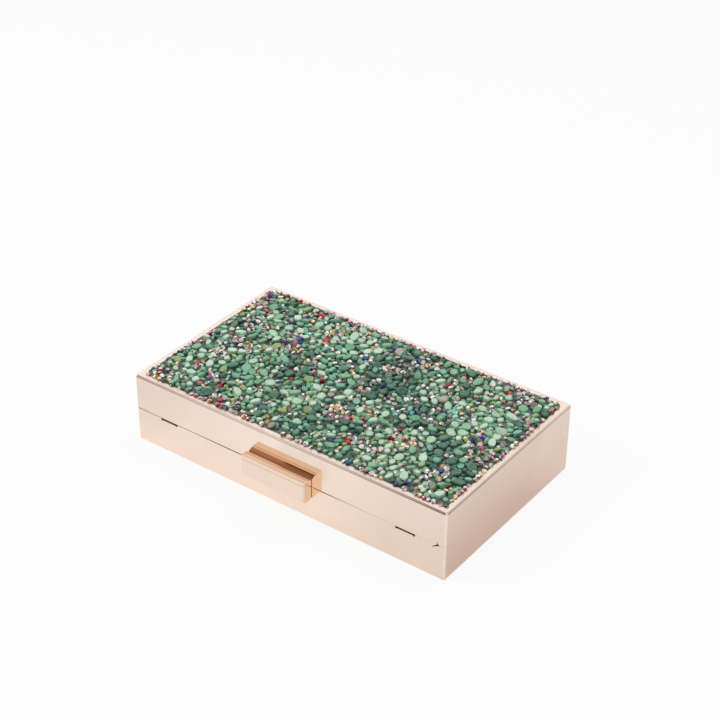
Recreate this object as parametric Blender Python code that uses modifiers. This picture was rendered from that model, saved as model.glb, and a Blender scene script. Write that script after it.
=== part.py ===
"""A hard box clutch: two metal half shells on a piano hinge, a lid panel of stone chips and
crystals, and a clasp of two bars, of which the front one is a sprung catch.

Metres, +Z up, +X along the long front side, -Y out of the clasp side. The origin is the
middle of the flat bottom. The lid is shut.
"""
import math
import random

import bmesh
import bpy
from mathutils import Matrix, Vector

# The box
BOX_LENGTH = 0.1810
BOX_WIDTH = 0.1050
BOX_HEIGHT = 0.0376  # to the top of the lid's rim, without the stones
WALL = 0.0012  # sheet of both shells
EDGE_RADIUS = 0.0012
RIM_WIDTH = 0.0032  # lid rim round the stone panel, from the outer face
RIM_CHAMFER = 0.0006
SEAM_GAP = 0.0003  # open line between the shells

# Fits
GAP = 0.0003  # between neighbouring pieces
CLOSE_GAP = 0.0001  # under a piece that is screwed down
OVERRUN = 0.0020  # how far a cutter passes what it cuts
BITE = 0.0003  # how far joined shapes reach into each other

# Strip stock of the lip, the hinge leaves, the catch bracket and the panel clips
STRIP = 0.0008

# Piano hinge behind the back wall
HINGE_END_SPACE = 0.0105  # from each end of the box
HINGE_SETBACK = 0.0003  # pin axis behind the back face
BARREL_RADIUS = 0.0014
HINGE_PIN_RADIUS = 0.0006
HINGE_PIN_PLAY = 0.0002
LEAF_HEIGHT = 0.0080
KNUCKLES = 9

# Lip that guides the lid, inside the base's front and end walls
LIP_HEIGHT = 0.0090
LIP_RISE = 0.0015  # above the seam
LIP_END_SPACE = 0.0060  # from the back wall

# Lining
LINING = 0.0010
PAD = 0.0015
LINING_DROP = 0.0014  # bare wall above and below the seam
PLATE = 0.0010  # backing plate of the stone panel
CLIP_LENGTH = 0.0140
CLIP_HEIGHT = 0.0040
CLIP_INSET = 0.0305  # middle of a clip from the end of the box

# Strap slots in the base's front wall, and the anchors behind them
SLOT_INSET = 0.0210  # middle of a slot from the end of the box
SLOT_LENGTH = 0.0100
SLOT_HEIGHT = 0.0008
SLOT_END_RADIUS = 0.0006
SLOT_DROP = 0.0011  # slot middle below the seam
ANCHOR_MARGIN = 0.0020  # pocket past each end of its slot
ANCHOR_HEIGHT = 0.0050
ANCHOR_DEPTH = 0.0034
ANCHOR_SHEET = 0.0005
ANCHOR_BAR_RADIUS = 0.0005

# Clasp bars
CLASP_OFFSET = 0.0042  # middle of the bars, to the right of the middle of the front
CLASP_LENGTH = 0.0368
CLASP_RISE = 0.0009  # underside above the seam
CLASP_HEIGHT = 0.0114
LID_BAR_DEPTH = 0.0071
LID_BAR_SHOULDER = 0.0016
BAR_GAP = 0.0007
CATCH_BAR_DEPTH = 0.0052
CATCH_BAR_SHOULDER = 0.0012
CATCH_BAR_FRONT_RADIUS = 0.0013
SCREW_INSET = 0.0064  # from each end of the bars
SCREW_RADIUS = 0.0009
SCREW_PLAY = 0.0002
SCREW_HEAD_RADIUS = 0.0019
SCREW_HEAD_HEIGHT = 0.0008
SCREW_GRIP = 0.0040  # length in the bar
SCREW_SLOT = 0.0004

# Catch pivot under the front bar
CATCH_BARREL_RADIUS = 0.0010
CATCH_AXIS_DROP = 0.0006  # below the seam
CATCH_AXIS_INSET = 0.0002  # barrel in from the bar's back face
CATCH_PIN_RADIUS = 0.0004
CATCH_PIN_PLAY = 0.00015
CATCH_PIN_END = 0.0003  # past each end of the bracket
BRACKET_HEIGHT = 0.0090
ARM_LENGTH = 0.0046  # along X, each of the bracket's two arms
LUG_LENGTH = 0.0060
SPRING_WIRE = 0.0003
SPRING_RADIUS = 0.00076
SPRING_PITCH = 0.00075
SPRING_TURNS = 3
SPRING_SPARE = 0.00165  # free length beside each spring on the pin

# Stone panel
BED = 0.0004
CHIP_PITCH = 0.0064
CHIP_SLOPE = 0.0011
CHIP_RISE = 0.0018
CHIP_CROWN = 0.0004
CHIP_UNEVEN = 0.0003
ROW_SHARE = 0.86  # row spacing, of the pitch
CHIP_WANDER_SHARE = 0.11  # of the pitch
CHIP_CORNER_SHARE = 0.13  # of the pitch
STONE_SEED = 11

# Facets
EDGE_STEPS = 3
SHOULDER_STEPS = 4
BARREL_STEPS = 14
HOLE_SIDES = 16
SLOT_END_STEPS = 8
SPRING_STEPS = 12  # in one turn
SCREW_STEPS = 16
HALF_CHIP_CORNERS = 4
MERGE = 0.000001
TINY = 0.0000001

# Places that follow
HALF_LENGTH = BOX_LENGTH / 2
HALF_WIDTH = BOX_WIDTH / 2
SEAM = BOX_HEIGHT / 2
BASE_TOP = SEAM - SEAM_GAP / 2
LID_BOTTOM = SEAM + SEAM_GAP / 2
STRIP_FACE = WALL + GAP  # from the outer face of the box to a strip on its wall
LINING_FACE = STRIP_FACE + STRIP + GAP
LINING_INNER = LINING_FACE + LINING
FLOOR = WALL + GAP
SLOT_REACH = HALF_LENGTH - SLOT_INSET
CLIP_REACH = HALF_LENGTH - CLIP_INSET
HINGE_LENGTH = BOX_LENGTH - 2 * HINGE_END_SPACE
RIM_UNDERSIDE = BOX_HEIGHT - WALL
PLATE_TOP = RIM_UNDERSIDE - GAP
PLATE_BOTTOM = PLATE_TOP - PLATE
LID_PAD_TOP = PLATE_BOTTOM - GAP
HINGE_Y = HALF_WIDTH + HINGE_SETBACK
BARREL_SPACE = BARREL_RADIUS + GAP
CLASP_BOTTOM = SEAM + CLASP_RISE
CLASP_TOP = CLASP_BOTTOM + CLASP_HEIGHT
LID_BAR_FRONT = HALF_WIDTH + CLOSE_GAP + LID_BAR_DEPTH
CATCH_BAR_BACK = LID_BAR_FRONT + BAR_GAP
CATCH_Y = -(CATCH_BAR_BACK + CATCH_AXIS_INSET + CATCH_BARREL_RADIUS)
CATCH_Z = SEAM - CATCH_AXIS_DROP
SCREW_Z = CLASP_BOTTOM + CLASP_HEIGHT / 2
SCREW_REACH = CLASP_LENGTH / 2 - SCREW_INSET
SLOT_Z = SEAM - SLOT_DROP
SPRING_LENGTH = SPRING_TURNS * SPRING_PITCH
BRACKET_LENGTH = LUG_LENGTH + 2 * (SPRING_LENGTH + SPRING_SPARE + ARM_LENGTH)
CATCH_PIN_LENGTH = BRACKET_LENGTH + 2 * CATCH_PIN_END
SPRING_LEG = -HALF_WIDTH - GAP - CATCH_Y
SPRING_TOE = CLASP_BOTTOM - 2 * GAP - CATCH_Z

# A flat outline's own axes, turned so that it is drawn in Y and Z and is thick along X
DRAWN_IN_YZ = Matrix(((0, 0, 1, 0), (1, 0, 0, 0), (0, 1, 0, 0), (0, 0, 0, 1)))
# The same for an outline drawn in X and Z
DRAWN_IN_XZ = Matrix.Rotation(math.pi / 2, 4, "X")


def clear_scene():
    for thing in list(bpy.data.objects):
        bpy.data.objects.remove(thing, do_unlink=True)


def new_collection(name):
    home = bpy.data.collections.new(name)
    bpy.context.scene.collection.children.link(home)
    return home


def material(name, colour, roughness, metallic):
    surface = bpy.data.materials.new(name)
    surface.use_nodes = True
    shader = surface.node_tree.nodes["Principled BSDF"]
    shader.inputs["Base Color"].default_value = (*colour, 1)
    shader.inputs["Roughness"].default_value = roughness
    shader.inputs["Metallic"].default_value = metallic
    surface.diffuse_color = (*colour, 1)
    return surface


def rose_gold(name):
    return material(name, (0.86, 0.72, 0.63), 0.28, 1)


def copper(name):
    return material(name, (0.87, 0.58, 0.41), 0.12, 1)


def brass_strip(name):
    return material(name, (0.78, 0.62, 0.47), 0.35, 1)


def satin_cloth(name):
    return material(name, (0.62, 0.50, 0.44), 0.65, 0)


def spring_steel(name):
    return material(name, (0.58, 0.58, 0.60), 0.30, 1)


def green_stone(name):
    return material(name, (0.10, 0.34, 0.20), 0.30, 0)


class Workshop:
    """The two collections, and the pivots that the moving pieces hang from."""

    def __init__(self):
        self.parts = new_collection("box_clutch")
        self.cutters = new_collection("box_clutch_cutters")

    def add(self, name, mesh, surface, location=(0, 0, 0), turn=None):
        piece = bpy.data.objects.new(name, mesh)
        self.parts.objects.link(piece)
        mesh.materials.append(surface)
        piece.matrix_world = Matrix.Translation(location) @ (turn or Matrix())
        return piece

    def add_guide(self, name, mesh, location=(0, 0, 0), turn=None):
        guide = bpy.data.objects.new(name, mesh)
        self.cutters.objects.link(guide)
        guide.hide_render = True
        guide.display_type = "WIRE"
        guide.matrix_world = Matrix.Translation(location) @ (turn or Matrix())
        return guide

    def pivot(self, name, location):
        empty = bpy.data.objects.new(name, None)
        self.parts.objects.link(empty)
        empty.location = location
        return empty


def hang(pivot, pieces):
    for piece in pieces:
        piece.parent = pivot
        piece.matrix_parent_inverse = Matrix.Translation(pivot.location).inverted()


def block_mesh(name, low, high):
    """A box between two corners, about its own middle."""
    shape = bmesh.new()
    bmesh.ops.create_cube(shape, size=1)
    bmesh.ops.scale(shape, vec=Vector(high) - Vector(low), verts=shape.verts)
    mesh = bpy.data.meshes.new(name)
    shape.to_mesh(mesh)
    shape.free()
    return mesh


def middle(low, high):
    return (Vector(low) + Vector(high)) / 2


def block(shop, name, low, high, surface):
    return shop.add(name, block_mesh(name, low, high), surface, middle(low, high))


def block_guide(shop, name, low, high):
    return shop.add_guide(name, block_mesh(name, low, high), middle(low, high))


def rod_mesh(name, radius, length, sides=HOLE_SIDES):
    """A round rod along its own Z, about its middle."""
    shape = bmesh.new()
    bmesh.ops.create_cone(
        shape, cap_ends=True, segments=sides, radius1=radius, radius2=radius, depth=length
    )
    mesh = bpy.data.meshes.new(name)
    shape.to_mesh(mesh)
    shape.free()
    return mesh


def outline_mesh(name, points, thickness):
    """A flat outline in its own X and Y, thick along Z about its middle."""
    curve = bpy.data.curves.new(name, "CURVE")
    curve.dimensions = "2D"
    curve.fill_mode = "BOTH"
    curve.extrude = thickness / 2
    line = curve.splines.new("POLY")
    line.points.add(len(points) - 1)
    for point, (x, y) in zip(line.points, points):
        point.co = (x, y, 0, 1)
    line.use_cyclic_u = True
    return curve_to_mesh(name, curve)


def curve_to_mesh(name, curve):
    holder = bpy.data.objects.new(name + "_curve", curve)
    bpy.context.scene.collection.objects.link(holder)
    graph = bpy.context.evaluated_depsgraph_get()
    mesh = bpy.data.meshes.new_from_object(holder.evaluated_get(graph))
    mesh.name = name
    bpy.data.objects.remove(holder, do_unlink=True)
    bpy.data.curves.remove(curve)
    shape = bmesh.new()
    shape.from_mesh(mesh)
    bmesh.ops.remove_doubles(shape, verts=shape.verts, dist=MERGE)
    bmesh.ops.recalc_face_normals(shape, faces=shape.faces)
    shape.to_mesh(mesh)
    shape.free()
    return mesh


def arc(centre, radius, start, end, steps):
    return [
        (
            centre[0] + radius * math.cos(start + (end - start) * step / steps),
            centre[1] + radius * math.sin(start + (end - start) * step / steps),
        )
        for step in range(steps + 1)
    ]


def cut(piece, guide):
    change = piece.modifiers.new("cut_" + guide.name, "BOOLEAN")
    change.operation = "DIFFERENCE"
    change.solver = "EXACT"
    change.object = guide


def join(piece, guide):
    change = piece.modifiers.new("join_" + guide.name, "BOOLEAN")
    change.operation = "UNION"
    change.solver = "EXACT"
    change.object = guide


def bevel_edges(mesh, radius, steps, chosen):
    """Rounds the edges that chosen() picks, or chamfers them when steps is 1."""
    shape = bmesh.new()
    shape.from_mesh(mesh)
    edges = [edge for edge in shape.edges if chosen(edge.verts[0].co, edge.verts[1].co)]
    bmesh.ops.bevel(
        shape, geom=edges, offset=radius, segments=steps, profile=0.5, affect="EDGES"
    )
    shape.to_mesh(mesh)
    shape.free()


def upright(a, b):
    return abs(a.x - b.x) < TINY and abs(a.y - b.y) < TINY


def level_at(a, b, height):
    return abs(a.z - height) < TINY and abs(b.z - height) < TINY


def shade_round(piece, angle_degrees=35):
    piece.data.shade_smooth()
    piece.data.set_sharp_from_angle(angle=math.radians(angle_degrees))


# Shells


def hinge_space(shop, name):
    """Room for the hinge barrel in the back walls."""
    reach = HINGE_LENGTH / 2 + GAP
    low = (-reach, HALF_WIDTH - WALL - OVERRUN, SEAM - BARREL_SPACE)
    high = (reach, HALF_WIDTH + OVERRUN, SEAM + BARREL_SPACE)
    return block_guide(shop, name, low, high)


def slot_outline():
    """A flat slot with a round eye at each end."""
    neck = SLOT_HEIGHT / 2
    lean = math.asin(neck / SLOT_END_RADIUS)
    reach = SLOT_LENGTH / 2 - SLOT_END_RADIUS
    sweep = math.pi - lean
    right = arc((reach, 0), SLOT_END_RADIUS, -sweep, sweep, SLOT_END_STEPS)
    left = arc((-reach, 0), SLOT_END_RADIUS, math.pi - sweep, math.pi + sweep, SLOT_END_STEPS)
    return right + left


def base_shell(shop):
    low = (-HALF_LENGTH, -HALF_WIDTH, 0)
    high = (HALF_LENGTH, HALF_WIDTH, BASE_TOP)
    shell = block(shop, "base_shell", low, high, rose_gold("base_shell"))
    underside = -BASE_TOP / 2
    bevel_edges(
        shell.data,
        EDGE_RADIUS,
        EDGE_STEPS,
        lambda a, b: upright(a, b) or level_at(a, b, underside),
    )
    hollow_low = (-HALF_LENGTH + WALL, -HALF_WIDTH + WALL, WALL)
    hollow_high = (HALF_LENGTH - WALL, HALF_WIDTH - WALL, BASE_TOP + OVERRUN)
    cut(shell, block_guide(shop, "base_hollow", hollow_low, hollow_high))
    cut(shell, hinge_space(shop, "base_hinge_space"))
    for side, name in ((-1, "slot_left"), (1, "slot_right")):
        mesh = outline_mesh(name, slot_outline(), WALL + 2 * OVERRUN)
        place = (side * SLOT_REACH, -HALF_WIDTH + WALL / 2, SLOT_Z)
        cut(shell, shop.add_guide(name, mesh, place, DRAWN_IN_XZ))
    for side, name in ((-1, "arm_notch_left"), (1, "arm_notch_right")):
        middle_x = CLASP_OFFSET + side * (BRACKET_LENGTH - ARM_LENGTH) / 2
        reach = ARM_LENGTH / 2 + GAP
        low = (middle_x - reach, -HALF_WIDTH - OVERRUN, CATCH_Z - CATCH_BARREL_RADIUS - GAP)
        high = (middle_x + reach, -HALF_WIDTH + WALL + OVERRUN, BASE_TOP + OVERRUN)
        cut(shell, block_guide(shop, name, low, high))
    shade_round(shell)
    return shell


def screw_hole(shop, name, middle_x):
    """Clearance for a clasp screw, through the lid's wall and into the bar."""
    depth = WALL + CLOSE_GAP + SCREW_GRIP + GAP
    mesh = rod_mesh(name, SCREW_RADIUS + SCREW_PLAY, depth + OVERRUN)
    end = -HALF_WIDTH + WALL + OVERRUN
    place = (middle_x, end - (depth + OVERRUN) / 2, SCREW_Z)
    return shop.add_guide(name, mesh, place, DRAWN_IN_XZ)


def lid_shell(shop, screw_holes):
    low = (-HALF_LENGTH, -HALF_WIDTH, LID_BOTTOM)
    high = (HALF_LENGTH, HALF_WIDTH, BOX_HEIGHT)
    shell = block(shop, "lid_shell", low, high, rose_gold("lid_shell"))
    bevel_edges(shell.data, EDGE_RADIUS, EDGE_STEPS, upright)
    top = (BOX_HEIGHT - LID_BOTTOM) / 2
    bevel_edges(shell.data, RIM_CHAMFER, 1, lambda a, b: level_at(a, b, top))
    hollow_low = (-HALF_LENGTH + WALL, -HALF_WIDTH + WALL, LID_BOTTOM - OVERRUN)
    hollow_high = (HALF_LENGTH - WALL, HALF_WIDTH - WALL, RIM_UNDERSIDE)
    cut(shell, block_guide(shop, "lid_hollow", hollow_low, hollow_high))
    window_low = (-HALF_LENGTH + RIM_WIDTH, -HALF_WIDTH + RIM_WIDTH, RIM_UNDERSIDE - OVERRUN)
    window_high = (HALF_LENGTH - RIM_WIDTH, HALF_WIDTH - RIM_WIDTH, BOX_HEIGHT + OVERRUN)
    cut(shell, block_guide(shop, "lid_window", window_low, window_high))
    cut(shell, hinge_space(shop, "lid_hinge_space"))
    for hole in screw_holes:
        cut(shell, hole)
    shade_round(shell)
    return shell


# Pieces inside the base


def frame_between(shop, name, outer_inset, thickness, low_z, high_z, surface):
    """A rectangular band inside the box, open above and below."""
    low = (-HALF_LENGTH + outer_inset, -HALF_WIDTH + outer_inset, low_z)
    high = (HALF_LENGTH - outer_inset, HALF_WIDTH - outer_inset, high_z)
    band = block(shop, name, low, high, surface)
    inset = outer_inset + thickness
    hole_low = (-HALF_LENGTH + inset, -HALF_WIDTH + inset, low_z - OVERRUN)
    hole_high = (HALF_LENGTH - inset, HALF_WIDTH - inset, high_z + OVERRUN)
    cut(band, block_guide(shop, name + "_hole", hole_low, hole_high))
    return band


def base_inner_lip(shop):
    top = SEAM + LIP_RISE
    low = (-HALF_LENGTH + STRIP_FACE, -HALF_WIDTH + STRIP_FACE, top - LIP_HEIGHT)
    high = (HALF_LENGTH - STRIP_FACE, HALF_WIDTH - LIP_END_SPACE, top)
    lip = block(shop, "base_inner_lip", low, high, brass_strip("base_inner_lip"))
    inset = STRIP_FACE + STRIP
    hole_low = (-HALF_LENGTH + inset, -HALF_WIDTH + inset, top - LIP_HEIGHT - OVERRUN)
    hole_high = (HALF_LENGTH - inset, HALF_WIDTH, top + OVERRUN)
    cut(lip, block_guide(shop, "lip_hollow", hole_low, hole_high))
    for side, name in ((-1, "lip_window_left"), (1, "lip_window_right")):
        cut(lip, anchor_space(shop, name, side))
    reach = BRACKET_LENGTH / 2 + GAP
    low = (CLASP_OFFSET - reach, -HALF_WIDTH, top - LIP_HEIGHT - OVERRUN)
    high = (CLASP_OFFSET + reach, -HALF_WIDTH + LINING_INNER, bracket_top() + GAP)
    cut(lip, block_guide(shop, "lip_bracket_window", low, high))
    return lip


def anchor_box():
    """Half length, bottom and top of a strap anchor."""
    reach = SLOT_LENGTH / 2 + ANCHOR_MARGIN
    top = SLOT_Z + SLOT_END_RADIUS + ANCHOR_SHEET
    return reach, top - ANCHOR_HEIGHT, top


def anchor_space(shop, name, side):
    """Room for a strap anchor in what lies round it."""
    reach, bottom, top = anchor_box()
    middle_x = side * SLOT_REACH
    low = (middle_x - reach - GAP, -HALF_WIDTH, bottom - GAP)
    high = (middle_x + reach + GAP, -HALF_WIDTH + LINING_INNER + OVERRUN, top + GAP)
    return block_guide(shop, name, low, high)


def strap_anchor(shop, name, side):
    """A small pocket behind a slot, with the bar that a strap's end hooks on."""
    reach, bottom, top = anchor_box()
    middle_x = side * SLOT_REACH
    front = -HALF_WIDTH + STRIP_FACE
    low = (middle_x - reach, front, bottom)
    high = (middle_x + reach, front + ANCHOR_DEPTH, top)
    pocket = block(shop, name, low, high, brass_strip(name))
    inner_low = (middle_x - reach + ANCHOR_SHEET, front - OVERRUN, bottom + ANCHOR_SHEET)
    inner_high = (
        middle_x + reach - ANCHOR_SHEET,
        front + ANCHOR_DEPTH - ANCHOR_SHEET,
        top - ANCHOR_SHEET,
    )
    cut(pocket, block_guide(shop, name + "_hollow", inner_low, inner_high))
    length = 2 * reach - ANCHOR_SHEET
    mesh = rod_mesh(name + "_bar", ANCHOR_BAR_RADIUS, length)
    place = (middle_x, front + ANCHOR_DEPTH / 2, (bottom + top) / 2)
    turn = Matrix.Rotation(math.pi / 2, 4, "Y")
    join(pocket, shop.add_guide(name + "_bar", mesh, place, turn))
    return pocket


def base_wall_lining(shop):
    band = frame_between(
        shop,
        "base_wall_lining",
        LINING_FACE,
        LINING,
        FLOOR,
        SEAM - LINING_DROP,
        satin_cloth("base_wall_lining"),
    )
    for side, name in ((-1, "lining_window_left"), (1, "lining_window_right")):
        cut(band, anchor_space(shop, name, side))
    return band


def pad(shop, name, bottom):
    """A lined board that fills the inside of a wall lining."""
    inset = LINING_INNER + GAP
    low = (-HALF_LENGTH + inset, -HALF_WIDTH + inset, bottom)
    high = (HALF_LENGTH - inset, HALF_WIDTH - inset, bottom + PAD)
    return block(shop, name, low, high, satin_cloth(name))


# Hinge and bracket, both of strip rolled round a pin


def rolled_outline(plate, roll, radius, height, outward, upward):
    """A strip with a flat plate, a short run out from it and an eye rolled round a pin.

    plate is the plate's inner face and roll the pin's axis, both (Y, Z). outward is the way
    from the plate to the pin along Y, and upward the way from the plate's far end to it.
    """
    run_low = roll[1] - upward * radius
    run_high = run_low + upward * STRIP
    start = -math.pi / 2
    end = math.pi + math.asin((radius - STRIP) / radius)
    eye = []
    for step in range(BARREL_STEPS + 1):
        angle = start + (end - start) * step / BARREL_STEPS
        across = roll[0] + outward * radius * math.cos(angle)
        eye.append((across, roll[1] + upward * radius * math.sin(angle)))
    far = run_low - upward * (height - STRIP)
    outer = plate + outward * STRIP
    return [(plate, far), (outer, far), (outer, run_low)] + eye + [(plate, run_high)]


def bracket_top():
    return CATCH_Z - CATCH_BARREL_RADIUS + STRIP


def knuckle_span(index):
    """The two ends of one knuckle's share of the hinge."""
    pitch = HINGE_LENGTH / KNUCKLES
    start = -HINGE_LENGTH / 2 + index * pitch
    return start, start + pitch


def hinge_leaf(shop, name, upward, first_knuckle):
    """One leaf of the piano hinge. It keeps every other knuckle."""
    plate = HALF_WIDTH - STRIP_FACE - STRIP
    points = rolled_outline(
        plate, (HINGE_Y, SEAM), BARREL_RADIUS, LEAF_HEIGHT, 1, upward
    )
    mesh = outline_mesh(name, points, HINGE_LENGTH)
    leaf = shop.add(name, mesh, brass_strip(name), (0, 0, 0), DRAWN_IN_YZ)
    for index in range(1 - first_knuckle, KNUCKLES, 2):
        start, end = knuckle_span(index)
        reach_left = OVERRUN if index == 0 else GAP / 2
        reach_right = OVERRUN if index == KNUCKLES - 1 else GAP / 2
        low = (start - reach_left, HALF_WIDTH - WALL, SEAM - BARREL_RADIUS - OVERRUN)
        high = (end + reach_right, HINGE_Y + BARREL_RADIUS + OVERRUN, SEAM + BARREL_RADIUS + OVERRUN)
        cut(leaf, block_guide(shop, f"{name}_notch_{index}", low, high))
    bore = rod_mesh(name + "_bore", HINGE_PIN_RADIUS + HINGE_PIN_PLAY, HINGE_LENGTH + OVERRUN)
    turn = Matrix.Rotation(math.pi / 2, 4, "Y")
    cut(leaf, shop.add_guide(name + "_bore", bore, (0, HINGE_Y, SEAM), turn))
    shade_round(leaf)
    return leaf


def hinge_pin(shop):
    mesh = rod_mesh("hinge_pin", HINGE_PIN_RADIUS, HINGE_LENGTH)
    turn = Matrix.Rotation(math.pi / 2, 4, "Y")
    pin = shop.add("hinge_pin", mesh, spring_steel("hinge_pin"), (0, HINGE_Y, SEAM), turn)
    shade_round(pin)
    return pin


# Clasp


def lid_clasp_bar(shop, screw_holes):
    low = (CLASP_OFFSET - CLASP_LENGTH / 2, -LID_BAR_FRONT, CLASP_BOTTOM)
    high = (CLASP_OFFSET + CLASP_LENGTH / 2, -HALF_WIDTH - CLOSE_GAP, CLASP_TOP)
    bar = block(shop, "lid_clasp_bar", low, high, copper("lid_clasp_bar"))
    top = CLASP_HEIGHT / 2
    bevel_edges(
        bar.data,
        LID_BAR_SHOULDER,
        SHOULDER_STEPS,
        lambda a, b: level_at(a, b, top) and abs(a.y - b.y) < TINY,
    )
    for hole in screw_holes:
        cut(bar, hole)
    shade_round(bar)
    return bar


def clasp_screw(shop, name, middle_x):
    """A slotted screw through the lid's wall from inside, turned about its own axis."""
    head_back = SCREW_HEAD_HEIGHT
    tip = -(WALL + 2 * CLOSE_GAP + SCREW_GRIP)
    profile = [
        (0, head_back),
        (SCREW_HEAD_RADIUS, head_back),
        (SCREW_HEAD_RADIUS, 0),
        (SCREW_RADIUS, 0),
        (SCREW_RADIUS, tip),
        (0, tip),
    ]
    shape = bmesh.new()
    corners = [shape.verts.new((x, 0, z)) for x, z in profile]
    for first, second in zip(corners, corners[1:]):
        shape.edges.new((first, second))
    mesh = bpy.data.meshes.new(name)
    shape.to_mesh(mesh)
    shape.free()
    seat = -HALF_WIDTH + WALL + CLOSE_GAP
    turn = Matrix.Rotation(-math.pi / 2, 4, "X")
    screw = shop.add(name, mesh, spring_steel(name), (middle_x, seat, SCREW_Z), turn)
    spin = screw.modifiers.new("turned", "SCREW")
    spin.steps = SCREW_STEPS
    spin.render_steps = SCREW_STEPS
    spin.use_merge_vertices = True
    spin.merge_threshold = MERGE
    spin.use_smooth_shade = False
    reach = SCREW_HEAD_RADIUS + OVERRUN
    low = (middle_x - reach, seat + SCREW_HEAD_HEIGHT / 2, SCREW_Z - SCREW_SLOT / 2)
    high = (middle_x + reach, seat + SCREW_HEAD_HEIGHT + OVERRUN, SCREW_Z + SCREW_SLOT / 2)
    cut(screw, block_guide(shop, name + "_slot", low, high))
    return screw


def catch_bracket(shop):
    """The fixed half of the catch's pivot, on the inside of the base's front wall."""
    plate = -HALF_WIDTH + STRIP_FACE + STRIP
    points = rolled_outline(
        plate, (CATCH_Y, CATCH_Z), CATCH_BARREL_RADIUS, BRACKET_HEIGHT, -1, 1
    )
    mesh = outline_mesh("catch_bracket", points, BRACKET_LENGTH)
    bracket = shop.add(
        "catch_bracket", mesh, brass_strip("catch_bracket"), (CLASP_OFFSET, 0, 0), DRAWN_IN_YZ
    )
    reach = BRACKET_LENGTH / 2 - ARM_LENGTH
    low = (CLASP_OFFSET - reach, CATCH_Y - CATCH_BARREL_RADIUS - OVERRUN, CATCH_Z - OVERRUN)
    high = (CLASP_OFFSET + reach, -HALF_WIDTH + WALL, CATCH_Z + OVERRUN)
    cut(bracket, block_guide(shop, "bracket_notch", low, high))
    cut(bracket, catch_bore(shop, "bracket_bore"))
    shade_round(bracket)
    return bracket


def catch_bore(shop, name):
    mesh = rod_mesh(name, CATCH_PIN_RADIUS + CATCH_PIN_PLAY, BRACKET_LENGTH + OVERRUN)
    turn = Matrix.Rotation(math.pi / 2, 4, "Y")
    return shop.add_guide(name, mesh, (CLASP_OFFSET, CATCH_Y, CATCH_Z), turn)


def catch_pin(shop):
    mesh = rod_mesh("catch_pin", CATCH_PIN_RADIUS, CATCH_PIN_LENGTH)
    turn = Matrix.Rotation(math.pi / 2, 4, "Y")
    place = (CLASP_OFFSET, CATCH_Y, CATCH_Z)
    pin = shop.add("catch_pin", mesh, spring_steel("catch_pin"), place, turn)
    shade_round(pin)
    return pin


def catch_spring(shop, name, side):
    """A torsion spring on the catch pin: one leg to the base's wall, a toe up to the bar."""
    start = -SPRING_LENGTH / 2
    points = [(start, SPRING_LEG, -SPRING_RADIUS)]
    for step in range(SPRING_TURNS * SPRING_STEPS + SPRING_STEPS // 4 + 1):
        turn = step / SPRING_STEPS
        angle = -math.pi / 2 - 2 * math.pi * turn
        across = SPRING_RADIUS * math.cos(angle)
        points.append((start + turn * SPRING_PITCH, across, SPRING_RADIUS * math.sin(angle)))
    points.append((points[-1][0], points[-1][1], SPRING_TOE))
    curve = bpy.data.curves.new(name, "CURVE")
    curve.dimensions = "3D"
    curve.bevel_depth = SPRING_WIRE / 2
    curve.bevel_resolution = 1
    curve.use_fill_caps = True
    line = curve.splines.new("POLY")
    line.points.add(len(points) - 1)
    for point, (x, y, z) in zip(line.points, points):
        point.co = (x, y, z, 1)
    mesh = curve_to_mesh(name, curve)
    inner = LUG_LENGTH / 2
    outer = BRACKET_LENGTH / 2 - ARM_LENGTH
    place = (CLASP_OFFSET + side * (inner + outer) / 2, CATCH_Y, CATCH_Z)
    spring = shop.add(name, mesh, spring_steel(name), place)
    shade_round(spring)
    return spring


def catch_bar(shop):
    """The front bar, with the lug under it that turns on the catch pin."""
    low = (
        CLASP_OFFSET - CLASP_LENGTH / 2,
        -CATCH_BAR_BACK - CATCH_BAR_DEPTH,
        CLASP_BOTTOM,
    )
    high = (CLASP_OFFSET + CLASP_LENGTH / 2, -CATCH_BAR_BACK, CLASP_TOP)
    bar = block(shop, "catch_bar", low, high, copper("catch_bar"))
    front = -CATCH_BAR_DEPTH / 2
    back = CATCH_BAR_DEPTH / 2
    top = CLASP_HEIGHT / 2
    bevel_edges(
        bar.data,
        CATCH_BAR_FRONT_RADIUS,
        SHOULDER_STEPS,
        lambda a, b: abs(a.y - front) < TINY and abs(b.y - front) < TINY,
    )
    bevel_edges(
        bar.data,
        CATCH_BAR_SHOULDER,
        SHOULDER_STEPS,
        lambda a, b: level_at(a, b, top) and abs(a.y - back) < TINY and abs(b.y - back) < TINY,
    )
    outline = arc((CATCH_Y, CATCH_Z), CATCH_BARREL_RADIUS, math.pi, 2 * math.pi, BARREL_STEPS // 2)
    reach = CLASP_BOTTOM + BITE
    outline.append((CATCH_Y + CATCH_BARREL_RADIUS, reach))
    outline.append((CATCH_Y - CATCH_BARREL_RADIUS, reach))
    mesh = outline_mesh("catch_lug", outline, LUG_LENGTH)
    join(bar, shop.add_guide("catch_lug", mesh, (CLASP_OFFSET, 0, 0), DRAWN_IN_YZ))
    cut(bar, catch_bore(shop, "catch_bore"))
    shade_round(bar)
    return bar


# Stone panel


def panel_plate(shop):
    low = (-HALF_LENGTH + STRIP_FACE, -HALF_WIDTH + STRIP_FACE, PLATE_BOTTOM)
    high = (HALF_LENGTH - STRIP_FACE, HALF_WIDTH - STRIP_FACE, PLATE_TOP)
    return block(shop, "panel_plate", low, high, brass_strip("panel_plate"))


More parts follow.
